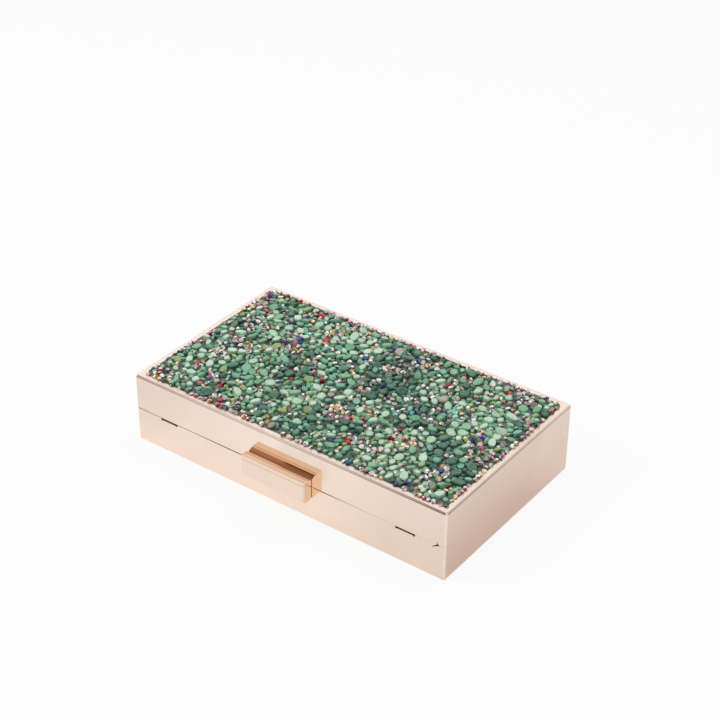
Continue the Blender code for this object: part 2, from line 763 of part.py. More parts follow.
def panel_clip(shop, name, side_x, side_y):
    middle_x = side_x * CLIP_REACH
    outer = side_y * (HALF_WIDTH - STRIP_FACE)
    inner = side_y * (HALF_WIDTH - STRIP_FACE - STRIP)
    low = (middle_x - CLIP_LENGTH / 2, min(outer, inner), LID_PAD_TOP - CLIP_HEIGHT)
    high = (middle_x + CLIP_LENGTH / 2, max(outer, inner), LID_PAD_TOP)
    return block(shop, name, low, high, brass_strip(name))


def chip_grid(length, width, rng):
    """A flat field of six-sided chip outlines in staggered rows, all a little uneven."""
    halves = 2 * round(length / CHIP_PITCH)
    rows = round(width / (CHIP_PITCH * ROW_SHARE))
    shape = bmesh.new()
    bmesh.ops.create_grid(shape, x_segments=halves, y_segments=rows, size=1)
    bmesh.ops.scale(shape, vec=(length / 2, width / 2, 1), verts=shape.verts)
    half_pitch = length / halves
    row_pitch = width / rows

    def column(place):
        return round((place.x + length / 2) / half_pitch)

    def row(place):
        return math.floor((place.y + width / 2) / row_pitch + TINY / row_pitch)

    spare = []
    for edge in shape.edges:
        a, b = edge.verts[0].co, edge.verts[1].co
        if upright_in_plan(a, b) and not edge.is_boundary:
            if (column(a) + row((a + b) / 2)) % 2:
                spare.append(edge)
    bmesh.ops.dissolve_edges(shape, edges=spare, use_verts=False)
    wander = CHIP_PITCH * CHIP_WANDER_SHARE
    for corner in shape.verts:
        if corner.is_boundary:
            continue
        centre = corner.co.copy()
        for edge in corner.link_edges:
            other = edge.other_vert(corner).co
            if abs(other.x - centre.x) < half_pitch / 2:
                toward = 1 if other.y > centre.y else -1
                corner.co.y += toward * CHIP_PITCH * CHIP_CORNER_SHARE
                break
    for corner in shape.verts:
        if not corner.is_boundary:
            corner.co.x += rng.uniform(-wander, wander)
            corner.co.y += rng.uniform(-wander, wander)
    return shape


def upright_in_plan(a, b):
    return abs(a.x - b.x) < TINY


def stone_panel(shop):
    """A resin bed with its field of tumbled chips, set close."""
    rng = random.Random(STONE_SEED)
    inset = RIM_WIDTH + GAP
    shape = chip_grid(BOX_LENGTH - 2 * inset, BOX_WIDTH - 2 * inset, rng)
    underside = list(shape.faces)
    raised = bmesh.ops.extrude_face_region(shape, geom=underside, use_keep_orig=True)
    lifted = [item for item in raised["geom"] if isinstance(item, bmesh.types.BMVert)]
    chips = [item for item in raised["geom"] if isinstance(item, bmesh.types.BMFace)]
    bmesh.ops.translate(shape, vec=(0, 0, BED), verts=lifted)
    bmesh.ops.dissolve_faces(shape, faces=underside, use_verts=False)
    bmesh.ops.recalc_face_normals(shape, faces=shape.faces)
    whole = [chip for chip in chips if len(chip.verts) > HALF_CHIP_CORNERS]
    halves = [chip for chip in chips if len(chip.verts) <= HALF_CHIP_CORNERS]
    bmesh.ops.inset_individual(shape, faces=whole, thickness=CHIP_SLOPE, depth=CHIP_RISE)
    bmesh.ops.inset_individual(shape, faces=halves, thickness=CHIP_SLOPE / 2, depth=CHIP_RISE)
    for chip in chips:
        for corner in chip.verts:
            corner.co.z += rng.uniform(-CHIP_UNEVEN, CHIP_UNEVEN)
    bmesh.ops.poke(shape, faces=chips, offset=CHIP_CROWN)
    mesh = bpy.data.meshes.new("stone_panel")
    shape.to_mesh(mesh)
    shape.free()
    place = (0, 0, PLATE_TOP + GAP)
    return shop.add("stone_panel", mesh, green_stone("stone_panel"), place)


def build():
    clear_scene()
    shop = Workshop()

    base_shell(shop)
    base_inner_lip(shop)
    base_wall_lining(shop)
    pad(shop, "base_floor_pad", FLOOR)
    strap_anchor(shop, "strap_anchor_left", -1)
    strap_anchor(shop, "strap_anchor_right", 1)
    hinge_leaf(shop, "base_hinge_leaf", 1, 0)
    hinge_pin(shop)
    catch_bracket(shop)
    catch_pin(shop)
    catch_spring(shop, "catch_spring_left", -1)
    catch_spring(shop, "catch_spring_right", 1)

    screw_places = {
        "clasp_screw_left": CLASP_OFFSET - SCREW_REACH,
        "clasp_screw_right": CLASP_OFFSET + SCREW_REACH,
    }
    holes = [screw_hole(shop, name + "_hole", x) for name, x in screw_places.items()]
    lid_pieces = [
        lid_shell(shop, holes),
        panel_plate(shop),
        stone_panel(shop),
        frame_between(
            shop,
            "lid_wall_lining",
            LINING_FACE,
            LINING,
            SEAM + LINING_DROP,
            LID_PAD_TOP,
            satin_cloth("lid_wall_lining"),
        ),
        pad(shop, "lid_pad", LID_PAD_TOP - PAD),
        hinge_leaf(shop, "lid_hinge_leaf", -1, 1),
        lid_clasp_bar(shop, holes),
    ]
    lid_pieces += [clasp_screw(shop, name, x) for name, x in screw_places.items()]
    for name_y, side_y in (("front", -1), ("back", 1)):
        for name_x, side_x in (("left", -1), ("right", 1)):
            name = f"panel_clip_{name_y}_{name_x}"
            lid_pieces.append(panel_clip(shop, name, side_x, side_y))
    hang(shop.pivot("lid_pivot", (0, HINGE_Y, SEAM)), lid_pieces)
    hang(shop.pivot("catch_pivot", (CLASP_OFFSET, CATCH_Y, CATCH_Z)), [catch_bar(shop)])


build()
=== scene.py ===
# A hard box clutch with a lid of tumbled stones and crystals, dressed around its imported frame.
import math
import random

import bmesh
import bpy
from mathutils import Matrix, Vector, noise


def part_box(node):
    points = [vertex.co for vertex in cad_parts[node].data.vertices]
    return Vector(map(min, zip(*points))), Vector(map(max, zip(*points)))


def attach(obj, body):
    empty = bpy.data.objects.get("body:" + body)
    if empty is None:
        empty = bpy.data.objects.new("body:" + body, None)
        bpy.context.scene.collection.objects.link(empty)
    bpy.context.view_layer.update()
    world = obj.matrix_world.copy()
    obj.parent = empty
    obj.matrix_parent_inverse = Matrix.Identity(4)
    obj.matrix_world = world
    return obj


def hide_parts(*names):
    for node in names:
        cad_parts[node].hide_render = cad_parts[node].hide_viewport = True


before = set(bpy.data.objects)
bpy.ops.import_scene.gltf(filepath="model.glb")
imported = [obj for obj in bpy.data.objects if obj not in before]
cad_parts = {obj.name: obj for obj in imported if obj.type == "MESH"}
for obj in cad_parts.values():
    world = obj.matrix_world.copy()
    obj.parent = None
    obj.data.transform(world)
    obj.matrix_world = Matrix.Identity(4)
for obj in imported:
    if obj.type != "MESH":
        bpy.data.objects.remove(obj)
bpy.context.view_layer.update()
baseLow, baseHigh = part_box("base_shell")
lidLow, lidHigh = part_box("lid_shell")
seamHeight = (baseHigh.z + lidLow.z) / 2
frontFace = baseLow.y
backFace = baseHigh.y
print("frame loaded:", len(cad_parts), "nodes")


# Working helpers


def deselectAll():
    if bpy.context.object and bpy.context.object.mode != "OBJECT":
        bpy.ops.object.mode_set(mode="OBJECT")
    bpy.ops.object.select_all(action="DESELECT")


def makeActive(piece):
    deselectAll()
    piece.select_set(True)
    bpy.context.view_layer.objects.active = piece


def bakePlace(piece):
    makeActive(piece)
    bpy.ops.object.transform_apply(location=True, rotation=True, scale=True)


def addBox(name, low, high):
    deselectAll()
    low, high = Vector(low), Vector(high)
    bpy.ops.mesh.primitive_cube_add(size=1, location=(low + high) / 2)
    piece = bpy.context.object
    piece.name = name
    piece.scale = high - low
    bakePlace(piece)
    return piece


def addRod(name, middle, radius, length, axis, sides=32):
    deselectAll()
    turns = {"X": (0, math.pi / 2, 0), "Y": (math.pi / 2, 0, 0), "Z": (0, 0, 0)}
    bpy.ops.mesh.primitive_cylinder_add(
        vertices=sides, radius=radius, depth=length, location=middle, rotation=turns[axis]
    )
    piece = bpy.context.object
    piece.name = name
    bakePlace(piece)
    return piece


def editOn(piece, kind):
    makeActive(piece)
    bpy.ops.object.mode_set(mode="EDIT")
    bpy.ops.mesh.select_mode(type=kind)
    bpy.ops.mesh.select_all(action="DESELECT")
    return bmesh.from_edit_mesh(piece.data)


def editAll(piece):
    editOn(piece, "FACE")
    bpy.ops.mesh.select_all(action="SELECT")


def editOff():
    bpy.ops.object.mode_set(mode="OBJECT")


def pickFaces(piece, test):
    shape = editOn(piece, "FACE")
    for face in shape.faces:
        face.select_set(test(face))
    bmesh.update_edit_mesh(piece.data)


# Faces that look along an axis, to the side given
def pickFacing(piece, axis, side, least=0.9):
    pickFaces(piece, lambda face: face.normal[axis] * side > least)


# Edges that pass a test, but for those between nearly flat faces
def pickEdges(piece, test, leastBend=4):
    shape = editOn(piece, "EDGE")
    for edge in shape.edges:
        bent = edge.calc_face_angle(0) > math.radians(leastBend)
        edge.select_set(bent and test(edge.verts[0].co, edge.verts[1].co))
    bmesh.update_edit_mesh(piece.data)


# Edges that pass a test are rounded, or chamfered if there is one step
def roundEdges(piece, test, radius, steps):
    pickEdges(piece, test)
    bpy.ops.mesh.bevel(offset=radius, segments=steps, affect="EDGES")
    editOff()


def movePoints(piece, move):
    shape = editOn(piece, "VERT")
    for point in shape.verts:
        move(point.co)
    bmesh.update_edit_mesh(piece.data)
    editOff()


# Rows of edges across a piece, for bending it or for marks that change along it
def addRows(piece, places, way):
    for place in places:
        editAll(piece)
        bpy.ops.mesh.bisect(plane_co=Vector(way) * place, plane_no=way)
        editOff()


def applyModifier(piece, kind, **values):
    makeActive(piece)
    change = piece.modifiers.new(kind.lower(), kind)
    for key, value in values.items():
        setattr(change, key, value)
    bpy.ops.object.modifier_apply(modifier=change.name)


def cutWith(piece, cutter):
    applyModifier(piece, "BOOLEAN", operation="DIFFERENCE", solver="EXACT", object=cutter)
    bpy.data.objects.remove(cutter, do_unlink=True)


def cutBox(piece, low, high):
    cutWith(piece, addBox("cutter", low, high))


def cutHole(piece, middle, radius, length, axis, sides=24):
    cutWith(piece, addRod("cutter", middle, radius, length, axis, sides))


def shadeSmooth(piece, degrees=32):
    makeActive(piece)
    bpy.ops.object.shade_smooth_by_angle(angle=math.radians(degrees))


def firmNormals(piece):
    applyModifier(piece, "WEIGHTED_NORMAL", keep_sharp=True, weight=60)


def near(a, b, slack=0.00002):
    return abs(a - b) < slack


def sameUpright(a, b):
    return near(a.x, b.x) and near(a.y, b.y) and not near(a.z, b.z)


def bothAt(a, b, height):
    return near(a.z, height) and near(b.z, height)


# Node helpers


def newTree(name):
    surface = bpy.data.materials.new(name)
    surface.use_nodes = True
    return surface, surface.node_tree, surface.node_tree.nodes["Principled BSDF"]


def addNode(tree, kind, inputs=None, **values):
    node = tree.nodes.new(kind)
    for key, value in values.items():
        setattr(node, key, value)
    for key, value in (inputs or {}).items():
        node.inputs[key].default_value = value
    return node


def wire(tree, source, target):
    tree.links.new(source, target)


# A group whose sockets are all plain numbers
def newGroup(name, inputs, outputs):
    tree = bpy.data.node_groups.new(name, "ShaderNodeTree")
    for label, value in inputs.items():
        socket = tree.interface.new_socket(name=label, in_out="INPUT", socket_type="NodeSocketFloat")
        socket.default_value = value
    for label in outputs:
        tree.interface.new_socket(name=label, in_out="OUTPUT", socket_type="NodeSocketFloat")
    return tree, tree.nodes.new("NodeGroupInput"), tree.nodes.new("NodeGroupOutput")


def placeGroup(tree, group, **values):
    node = tree.nodes.new("ShaderNodeGroup")
    node.node_tree = group
    for key, value in values.items():
        node.inputs[key].default_value = value
    return node


def mixColours(tree, amount, first, second, blend="MIX"):
    mix = addNode(tree, "ShaderNodeMix", data_type="RGBA", blend_type=blend)
    for index, value in ((0, amount), (6, first), (7, second)):
        if isinstance(value, bpy.types.NodeSocket):
            wire(tree, value, mix.inputs[index])
        else:
            mix.inputs[index].default_value = value
    return mix.outputs[2]


def mathNode(tree, operation, first, second=0.0, third=0.0):
    node = addNode(tree, "ShaderNodeMath", operation=operation)
    for index, value in enumerate((first, second, third)):
        if isinstance(value, bpy.types.NodeSocket):
            wire(tree, value, node.inputs[index])
        else:
            node.inputs[index].default_value = value
    return node.outputs[0]


def times(tree, first, second):
    return mathNode(tree, "MULTIPLY", first, second)


# From low to high as the source goes from 0 to 1
def between(tree, source, low, high):
    return mathNode(tree, "MULTIPLY_ADD", source, high - low, low)


# From 0 to 1 as the source goes from start to end
def smoothStep(tree, source, start, end, kind="SMOOTHSTEP"):
    ends = {"From Min": start, "From Max": end}
    node = addNode(tree, "ShaderNodeMapRange", ends, interpolation_type=kind)
    wire(tree, source, node.inputs["Value"])
    return node.outputs["Result"]


def straightStep(tree, source, start, end):
    return smoothStep(tree, source, start, end, "LINEAR")


def band(tree, source, start, full, fade, end):
    return times(tree, smoothStep(tree, source, start, full), smoothStep(tree, source, end, fade))


def placeOn(tree):
    return tree.nodes.new("ShaderNodeTexCoord").outputs["Object"]


def splitWays(tree, place):
    parts = tree.nodes.new("ShaderNodeSeparateXYZ")
    wire(tree, place, parts.inputs[0])
    return parts.outputs


def markValue(tree, name):
    return addNode(tree, "ShaderNodeAttribute", attribute_name=name).outputs["Fac"]


def texture(tree, kind, settings, place, scale=None):
    node = addNode(tree, kind, settings)
    wire(tree, place, node.inputs["Vector"])
    if scale is not None:
        wire(tree, scale, node.inputs["Scale"])
    return node


def noiseTexture(tree, settings, place, scale=None):
    return texture(tree, "ShaderNodeTexNoise", settings, place, scale).outputs["Fac"]


def addBump(tree, shader, height, look):
    bump = addNode(tree, "ShaderNodeBump", {"Strength": look["bump"], "Distance": look["bumpDepth"]})
    wire(tree, height, bump.inputs["Height"])
    wire(tree, bump.outputs["Normal"], shader.inputs["Normal"])


def finishSurface(tree, shader, tone, rough):
    wire(tree, tone, shader.inputs["Base Color"])
    wire(tree, rough, shader.inputs["Roughness"])


def mixShaders(tree, amount, first, second):
    mix = tree.nodes.new("ShaderNodeMixShader")
    wire(tree, amount, mix.inputs["Fac"])
    wire(tree, first.outputs[0], mix.inputs[1])
    wire(tree, second.outputs[0], mix.inputs[2])
    return mix


def ramp(tree, source, stops):
    node = tree.nodes.new("ShaderNodeValToRGB")
    bar = node.color_ramp
    while len(bar.elements) < len(stops):
        bar.elements.new(0.5)
    for element, (place, colour) in zip(bar.elements, stops):
        element.position = place
        element.color = colour
    wire(tree, source, node.inputs["Fac"])
    return node.outputs["Color"]


# Camera, floor and light

cameraLook = dict(
    place=(0.4115, -0.5581, 0.5061),
    azimuth=36.06,
    elevation=33.09,
    roll=0.56,
    lens=87.94,
    sensor=36,
    sees=(0.01, 30),
)

studioLook = dict(
    floorSize=8.0,
    floorDrop=0.00005,
    floorColour=(0.86, 0.855, 0.85, 1),
    skyBright=(1.13, 1.13, 1.14, 1),
    skyFront=(0.82, 0.80, 0.78, 1),
    skyOverhead=(0.50, 0.46, 0.43, 1),
    overhead=(0.80, 0.96),
    brightWay=(-0.55, 0.75, 0.37),
    brightSpread=(-0.25, 0.85),
    fill=0.42,
    cameraWhite=0.88,
    mirrorWhite=0.90,
)

# What the metal sees of the floor, a painted glow and a painted shadow: near the box and away from it, on
# its lit and its shaded side
floorLook = dict(
    litNear=(0.96, 0.915, 0.86, 1),
    litFar=(0.955, 0.95, 0.95, 1),
    glow=(1.165, 1.165, 1.175, 1),
    glowMiddle=-0.035,
    glowEdges=(0.090, 0.045),
    shadeNear=(0.69, 0.57, 0.53, 1),
    shadeOpen=(0.89, 0.81, 0.76, 1),
    shadeFar=(0.90, 0.89, 0.87, 1),
    openEdges=(0.015, 0.060),
    reach=0.045,
    shadeAcross=(0.080, 0.094),
    shadeAlong=(-0.060, -0.044),
    footprint=(0.0905, 0.0525),
)

lampLook = {
    "keyLamp": dict(place=(-0.65, -0.75, 1.15), size=0.9, power=11.0),
    "topLamp": dict(place=(0.25, 0.45, 1.3), size=0.7, power=5.0),
}


def buildCamera():
    deselectAll()
    azimuth, elevation, roll = (
        math.radians(cameraLook[key]) for key in ("azimuth", "elevation", "roll")
    )
    back = Vector((
        math.sin(azimuth) * math.cos(elevation),
        -math.cos(azimuth) * math.cos(elevation),
        math.sin(elevation),
    ))
    right = Vector((math.cos(azimuth), math.sin(azimuth), 0))
    up = back.cross(right)
    rolledRight = right * math.cos(roll) + up * math.sin(roll)
    rolledUp = up * math.cos(roll) - right * math.sin(roll)
    bpy.ops.object.camera_add()
    camera = bpy.context.object
    camera.name = "photoCamera"
    turn = Matrix((rolledRight, rolledUp, back)).transposed()
    camera.matrix_world = Matrix.Translation(cameraLook["place"]) @ turn.to_4x4()
    camera.data.lens = cameraLook["lens"]
    camera.data.sensor_width = cameraLook["sensor"]
    camera.data.clip_start, camera.data.clip_end = cameraLook["sees"]
    bpy.context.scene.camera = camera


def sharpRays(tree):
    path = tree.nodes.new("ShaderNodeLightPath")
    mirror = mathNode(
        tree, "MAXIMUM", path.outputs["Is Glossy Ray"], path.outputs["Is Transmission Ray"]
    )
    return path.outputs["Is Camera Ray"], mirror


def buildWorld():
    world = bpy.data.worlds.new("studio")
    bpy.context.scene.world = world
    world.use_nodes = True
    tree = world.node_tree
    tree.nodes.clear()
    way = tree.nodes.new("ShaderNodeTexCoord").outputs["Generated"]
    axis = Vector(studioLook["brightWay"]).normalized()
    along = addNode(tree, "ShaderNodeVectorMath", {1: axis}, operation="DOT_PRODUCT")
    wire(tree, way, along.inputs[0])
    spread = smoothStep(tree, along.outputs["Value"], *studioLook["brightSpread"])
    sky = mixColours(tree, spread, studioLook["skyFront"], studioLook["skyBright"])
    above = smoothStep(tree, splitWays(tree, way)["Z"], *studioLook["overhead"])
    sky = mixColours(tree, above, sky, studioLook["skyOverhead"])
    camera, mirror = sharpRays(tree)
    soft = addNode(
        tree, "ShaderNodeBackground", {"Color": (1, 1, 1, 1), "Strength": studioLook["fill"]}
    )
    seen = addNode(tree, "ShaderNodeBackground", {"Strength": 1})
    wire(tree, sky, seen.inputs["Color"])
    white = addNode(tree, "ShaderNodeBackground", {"Color": (1, 1, 1, 1), "Strength": 1})
    lit = mixShaders(tree, mirror, soft, seen)
    end = tree.nodes.new("ShaderNodeOutputWorld")
    wire(tree, mixShaders(tree, camera, lit, white).outputs[0], end.inputs["Surface"])


# The floor as the metal sees it: a painted glow across its middle, warmer near the box, and a painted
# shadow on the box's right that darkens and warms towards its foot
def floorPaintedLight(tree):
    look = floorLook
    ways = splitWays(tree, placeOn(tree))
    outside = []
    for axis, half in zip("XY", look["footprint"]):
        reach = mathNode(tree, "ABSOLUTE", ways[axis])
        reach = mathNode(tree, "MAXIMUM", mathNode(tree, "SUBTRACT", reach, half), 0.0)
        outside.append(times(tree, reach, reach))
    distance = mathNode(tree, "SQRT", mathNode(tree, "ADD", *outside))
    away = smoothStep(tree, distance, 0.0, look["reach"])
    across = smoothStep(tree, ways["X"], *look["shadeAcross"])
    along = smoothStep(tree, ways["Y"], *look["shadeAlong"])
    shaded = times(tree, across, along)
    beside = mathNode(tree, "SUBTRACT", ways["X"], look["glowMiddle"])
    ahead = smoothStep(tree, mathNode(tree, "ABSOLUTE", beside), *look["glowEdges"])
    lit = mixColours(tree, away, look["litNear"], look["litFar"])
    glow = mixColours(tree, ahead, (1, 1, 1, 1), look["glow"])
    lit = mixColours(tree, 1.0, lit, glow, "MULTIPLY")
    opened = smoothStep(tree, ways["Y"], *look["openEdges"])
    nearShade = mixColours(tree, opened, look["shadeNear"], look["shadeOpen"])
    shade = mixColours(tree, away, nearShade, look["shadeFar"])
    return mixColours(tree, shaded, lit, shade)


def buildFloor():
    deselectAll()
    # a hair below the box, so that the two faces don't flicker where they meet
    place = (0, 0, -studioLook["floorDrop"])
    bpy.ops.mesh.primitive_plane_add(size=studioLook["floorSize"], location=place)
    floor = bpy.context.object
    floor.name = "studioFloor"
    bakePlace(floor)
    surface, tree, shader = newTree("floorPaper")
    shader.inputs["Base Color"].default_value = studioLook["floorColour"]
    shader.inputs["Roughness"].default_value = 1
    shader.inputs["Specular IOR Level"].default_value = 0
    camera, mirror = sharpRays(tree)
    white = addNode(tree, "ShaderNodeEmission", {"Color": (1, 1, 1, 1), "Strength": 1})
    # in reflections the floor glows with its painted light and shadow
    toned = addNode(tree, "ShaderNodeEmission", {"Strength": 1})
    wire(tree, floorPaintedLight(tree), toned.inputs["Color"])
    seen = times(tree, camera, studioLook["cameraWhite"])
    shown = times(tree, mirror, studioLook["mirrorWhite"])
    paper = mixShaders(tree, shown, shader, toned)
    final = mixShaders(tree, seen, paper, white)
    wire(tree, final.outputs[0], tree.nodes["Material Output"].inputs["Surface"])
    floor.data.materials.append(surface)


def buildLamps():
    for name, look in lampLook.items():
        deselectAll()
        bpy.ops.object.light_add(type="AREA", location=look["place"])
        lamp = bpy.context.object
        lamp.name = name
        lamp.data.shape = "DISK"
        lamp.data.size = look["size"]
        lamp.data.energy = look["power"]
        aim = -Vector(look["place"])
        lamp.rotation_euler = aim.to_track_quat("-Z", "Y").to_euler()
        lamp.visible_glossy = False  # the sky and the floor are what the metal shows


buildCamera()
buildWorld()
buildFloor()
buildLamps()
bpy.context.scene.view_settings.view_transform = "Standard"
print("studio ready")


# Shared effects: each group's inputs are its usual values, and a material may set its own

# Fine plating grain, and the soft smears that hands leave
grainLook = dict(
    inputs={"Fineness": 2200.0, "Smear": 26.0},
    fine={"Detail": 4.0, "Roughness": 0.6},
    broad={"Detail": 5.0, "Roughness": 0.62, "Distortion": 0.7},
    levels=(0.42, 0.68),
)


def buildGrainGroup():
    tree, start, end = newGroup("platingGrain", grainLook["inputs"], ("Grain", "Smears"))
    place = placeOn(tree)
    fine = noiseTexture(tree, grainLook["fine"], place, start.outputs["Fineness"])
    wire(tree, fine, end.inputs["Grain"])
    broad = noiseTexture(tree, grainLook["broad"], place, start.outputs["Smear"])
    wire(tree, straightStep(tree, broad, *grainLook["levels"]), end.inputs["Smears"])
    return tree


# Bright rubbed edges, partly a painted highlight: the band that the modelling marks, broken up by noise
wearHighlightLook = dict(
    inputs={"Scale": 420.0, "Amount": 0.5},
    patches={"Detail": 3.0, "Roughness": 0.6},
    levels=(0.20, 0.55),
)


def buildWearHighlightGroup():
    tree, start, end = newGroup("rubbedEdgeHighlight", wearHighlightLook["inputs"], ("WornHighlight",))
    patches = noiseTexture(tree, wearHighlightLook["patches"], placeOn(tree), start.outputs["Scale"])
    held = times(tree, markValue(tree, "edgeBand"), straightStep(tree, patches, *wearHighlightLook["levels"]))
    wire(tree, times(tree, held, start.outputs["Amount"]), end.inputs["WornHighlight"])
    return tree


# Cloudy banding, small specks and polishing pits of a tumbled stone
cloudLook = dict(
    inputs={"Cloud": 330.0, "Speck": 1500.0},
    clouds={"Detail": 4.0, "Roughness": 0.55, "Distortion": 1.1},
    cloudLevels=(0.32, 0.7),
    specks={"Randomness": 1.0},
    speckLevels=(0.22, 0.05),
    pits={"Scale": 1800.0, "Detail": 2.0},
)


def buildCloudGroup():
    tree, start, end = newGroup("stoneClouds", cloudLook["inputs"], ("Clouds", "Specks", "Pits"))
    place = placeOn(tree)
    cloud = noiseTexture(tree, cloudLook["clouds"], place, start.outputs["Cloud"])
    wire(tree, straightStep(tree, cloud, *cloudLook["cloudLevels"]), end.inputs["Clouds"])
    speck = texture(tree, "ShaderNodeTexVoronoi", cloudLook["specks"], place, start.outputs["Speck"])
    dots = straightStep(tree, speck.outputs["Distance"], *cloudLook["speckLevels"])
    wire(tree, dots, end.inputs["Specks"])
    wire(tree, noiseTexture(tree, cloudLook["pits"], place), end.inputs["Pits"])
    return tree


# Satin: long floats one way, with the fine cross threads under them
weaveLook = dict(
    inputs={"Threads": 5200.0, "Slub": 240.0},
    warp=0.7,
    weft=0.3,
    slub={"Detail": 4.0, "Roughness": 0.65},
    stretch={"Scale": (0.12, 1.0, 1.0)},
)


def buildWeaveGroup():
    tree, start, end = newGroup("satinWeave", weaveLook["inputs"], ("Height", "Sheen"))
    place = placeOn(tree)
    ways = splitWays(tree, place)
    threads = []
    for axis in "XY":
        along = mathNode(tree, "ADD", ways[axis], ways["Z"])
        threads.append(mathNode(tree, "SINE", times(tree, along, start.outputs["Threads"])))
    weft = times(tree, threads[1], weaveLook["weft"])
    height = mathNode(tree, "MULTIPLY_ADD", threads[0], weaveLook["warp"], weft)
    wire(tree, height, end.inputs["Height"])
    stretch = texture(tree, "ShaderNodeMapping", weaveLook["stretch"], place).outputs["Vector"]
    slub = noiseTexture(tree, weaveLook["slub"], stretch, start.outputs["Slub"])
    wire(tree, slub, end.inputs["Sheen"])
    return tree


grainGroup = buildGrainGroup()
wearHighlightGroup = buildWearHighlightGroup()
cloudGroup = buildCloudGroup()
weaveGroup = buildWeaveGroup()


# Metals

# Each metal's rubbed-edge colour brightens its marked band; on the satin shells it is also a painted
# highlight on the corners
metalLooks = {
    "roseSatin": dict(
        colour=(0.885, 0.740, 0.645, 1), smeared=(0.850, 0.700, 0.605, 1), wornHighlight=(0.95, 0.84, 0.75, 1),
        smearShare=0.30, rough=(0.36, 0.46), grainScale=2600.0, smearScale=24.0,
        bump=0.10, bumpDepth=0.00002, wearHighlight=0.85,
    ),
    "roseMirror": dict(
        colour=(0.955, 0.665, 0.475, 1), smeared=(0.92, 0.61, 0.42, 1), wornHighlight=(0.96, 0.78, 0.65, 1),
        smearShare=0.15, rough=(0.09, 0.16), grainScale=3000.0, smearScale=60.0,
        bump=0.04, bumpDepth=0.00001, wearHighlight=0.5,
        # the clasp's painted reflections, highlights and shade, band by band
        crown=(1.0, 0.765, 0.545, 1), shoulder=(0.67, 0.355, 0.20, 1), valleyShade=(0.39, 0.155, 0.072, 1),
        deepValleyShade=(0.255, 0.10, 0.045, 1), creaseShade=(0.10, 0.030, 0.009, 1), foot=(0.30, 0.110, 0.045, 1),
        backEdge=(0.37, 0.16, 0.078, 1), ridge=(0.71, 0.455, 0.305, 1), browHighlight=(1.0, 0.78, 0.61, 1),
        flank=(1.0, 0.75, 0.50, 1), lip=(0.68, 0.56, 0.47, 1), face=(0.83, 0.675, 0.565, 1),
        faceRough=0.38,
    ),
    "brassStrip": dict(
        colour=(0.80, 0.62, 0.44, 1), smeared=(0.62, 0.45, 0.30, 1), wornHighlight=(0.90, 0.74, 0.56, 1),
        smearShare=0.35, rough=(0.22, 0.42), grainScale=1800.0, smearScale=110.0,
        bump=0.18, bumpDepth=0.00003, wearHighlight=0.3,
    ),
    "pinSteel": dict(
        colour=(0.60, 0.60, 0.62, 1), smeared=(0.42, 0.41, 0.41, 1), wornHighlight=(0.75, 0.75, 0.76, 1),
        smearShare=0.4, rough=(0.2, 0.38), grainScale=2400.0, smearScale=160.0,
        bump=0.15, bumpDepth=0.00002, wearHighlight=0.3,
    ),
}


# Painted shade, dark brown, in seams, slots and hairlines and on the rim's chamfer, and a little at the
# foot, where the modelling marks it
paintedShadeLook = dict(colour=(0.155, 0.078, 0.048, 1), rough=0.6)


# Darkens and roughens the colour where the modelling marks painted shade
def addPaintedShade(tree, tone, rough):
    paintedShade = markValue(tree, "paintedShade")
    tone = mixColours(tree, paintedShade, tone, paintedShadeLook["colour"])
    return tone, mathNode(tree, "MAXIMUM", rough, times(tree, paintedShade, paintedShadeLook["rough"]))


# Where the clasp's painted reflections, highlights and shade lie. The bands and the front run forward
# from the box's front face. A band says where it starts, is full, begins to fade and ends. The turn
# runs from left to right, the top and the lip from below upwards, the front's top from above down,
# and the ends from outside inwards
claspLook = dict(
    crown=(-0.001, 0.0002, 0.0030, 0.0040),
    shoulder=(0.0031, 0.0038, 0.0070, 0.0076),
    valleyShade=(0.0045, 0.0049, 0.0072, 0.0078),
    creaseShade=(0.0046, 0.0049, 0.0052, 0.0057),
    foot=(0.0063, 0.0065, 0.0069, 0.0071),
    backEdge=(0.0076, 0.0078, 0.0086, 0.0094),
    ridge=(0.0102, 0.0114, 0.0121, 0.0129),
    browHighlight=(0.0123, 0.0130, 0.0140, 0.0150),
    split=(0.00702, 0.00714, 0.00794, 0.00802),
    front=(0.01165, 0.01190),
    frontTop=(0.0302, 0.02995),
    turn=(0.003, 0.008),
    top=(0.0290, 0.0296),
    lip=(0.0288, 0.0291, 0.0295, 0.0299),
    middle=0.0042,
    ends=(0.01834, 0.01822),
    leftShare=0.25,
)


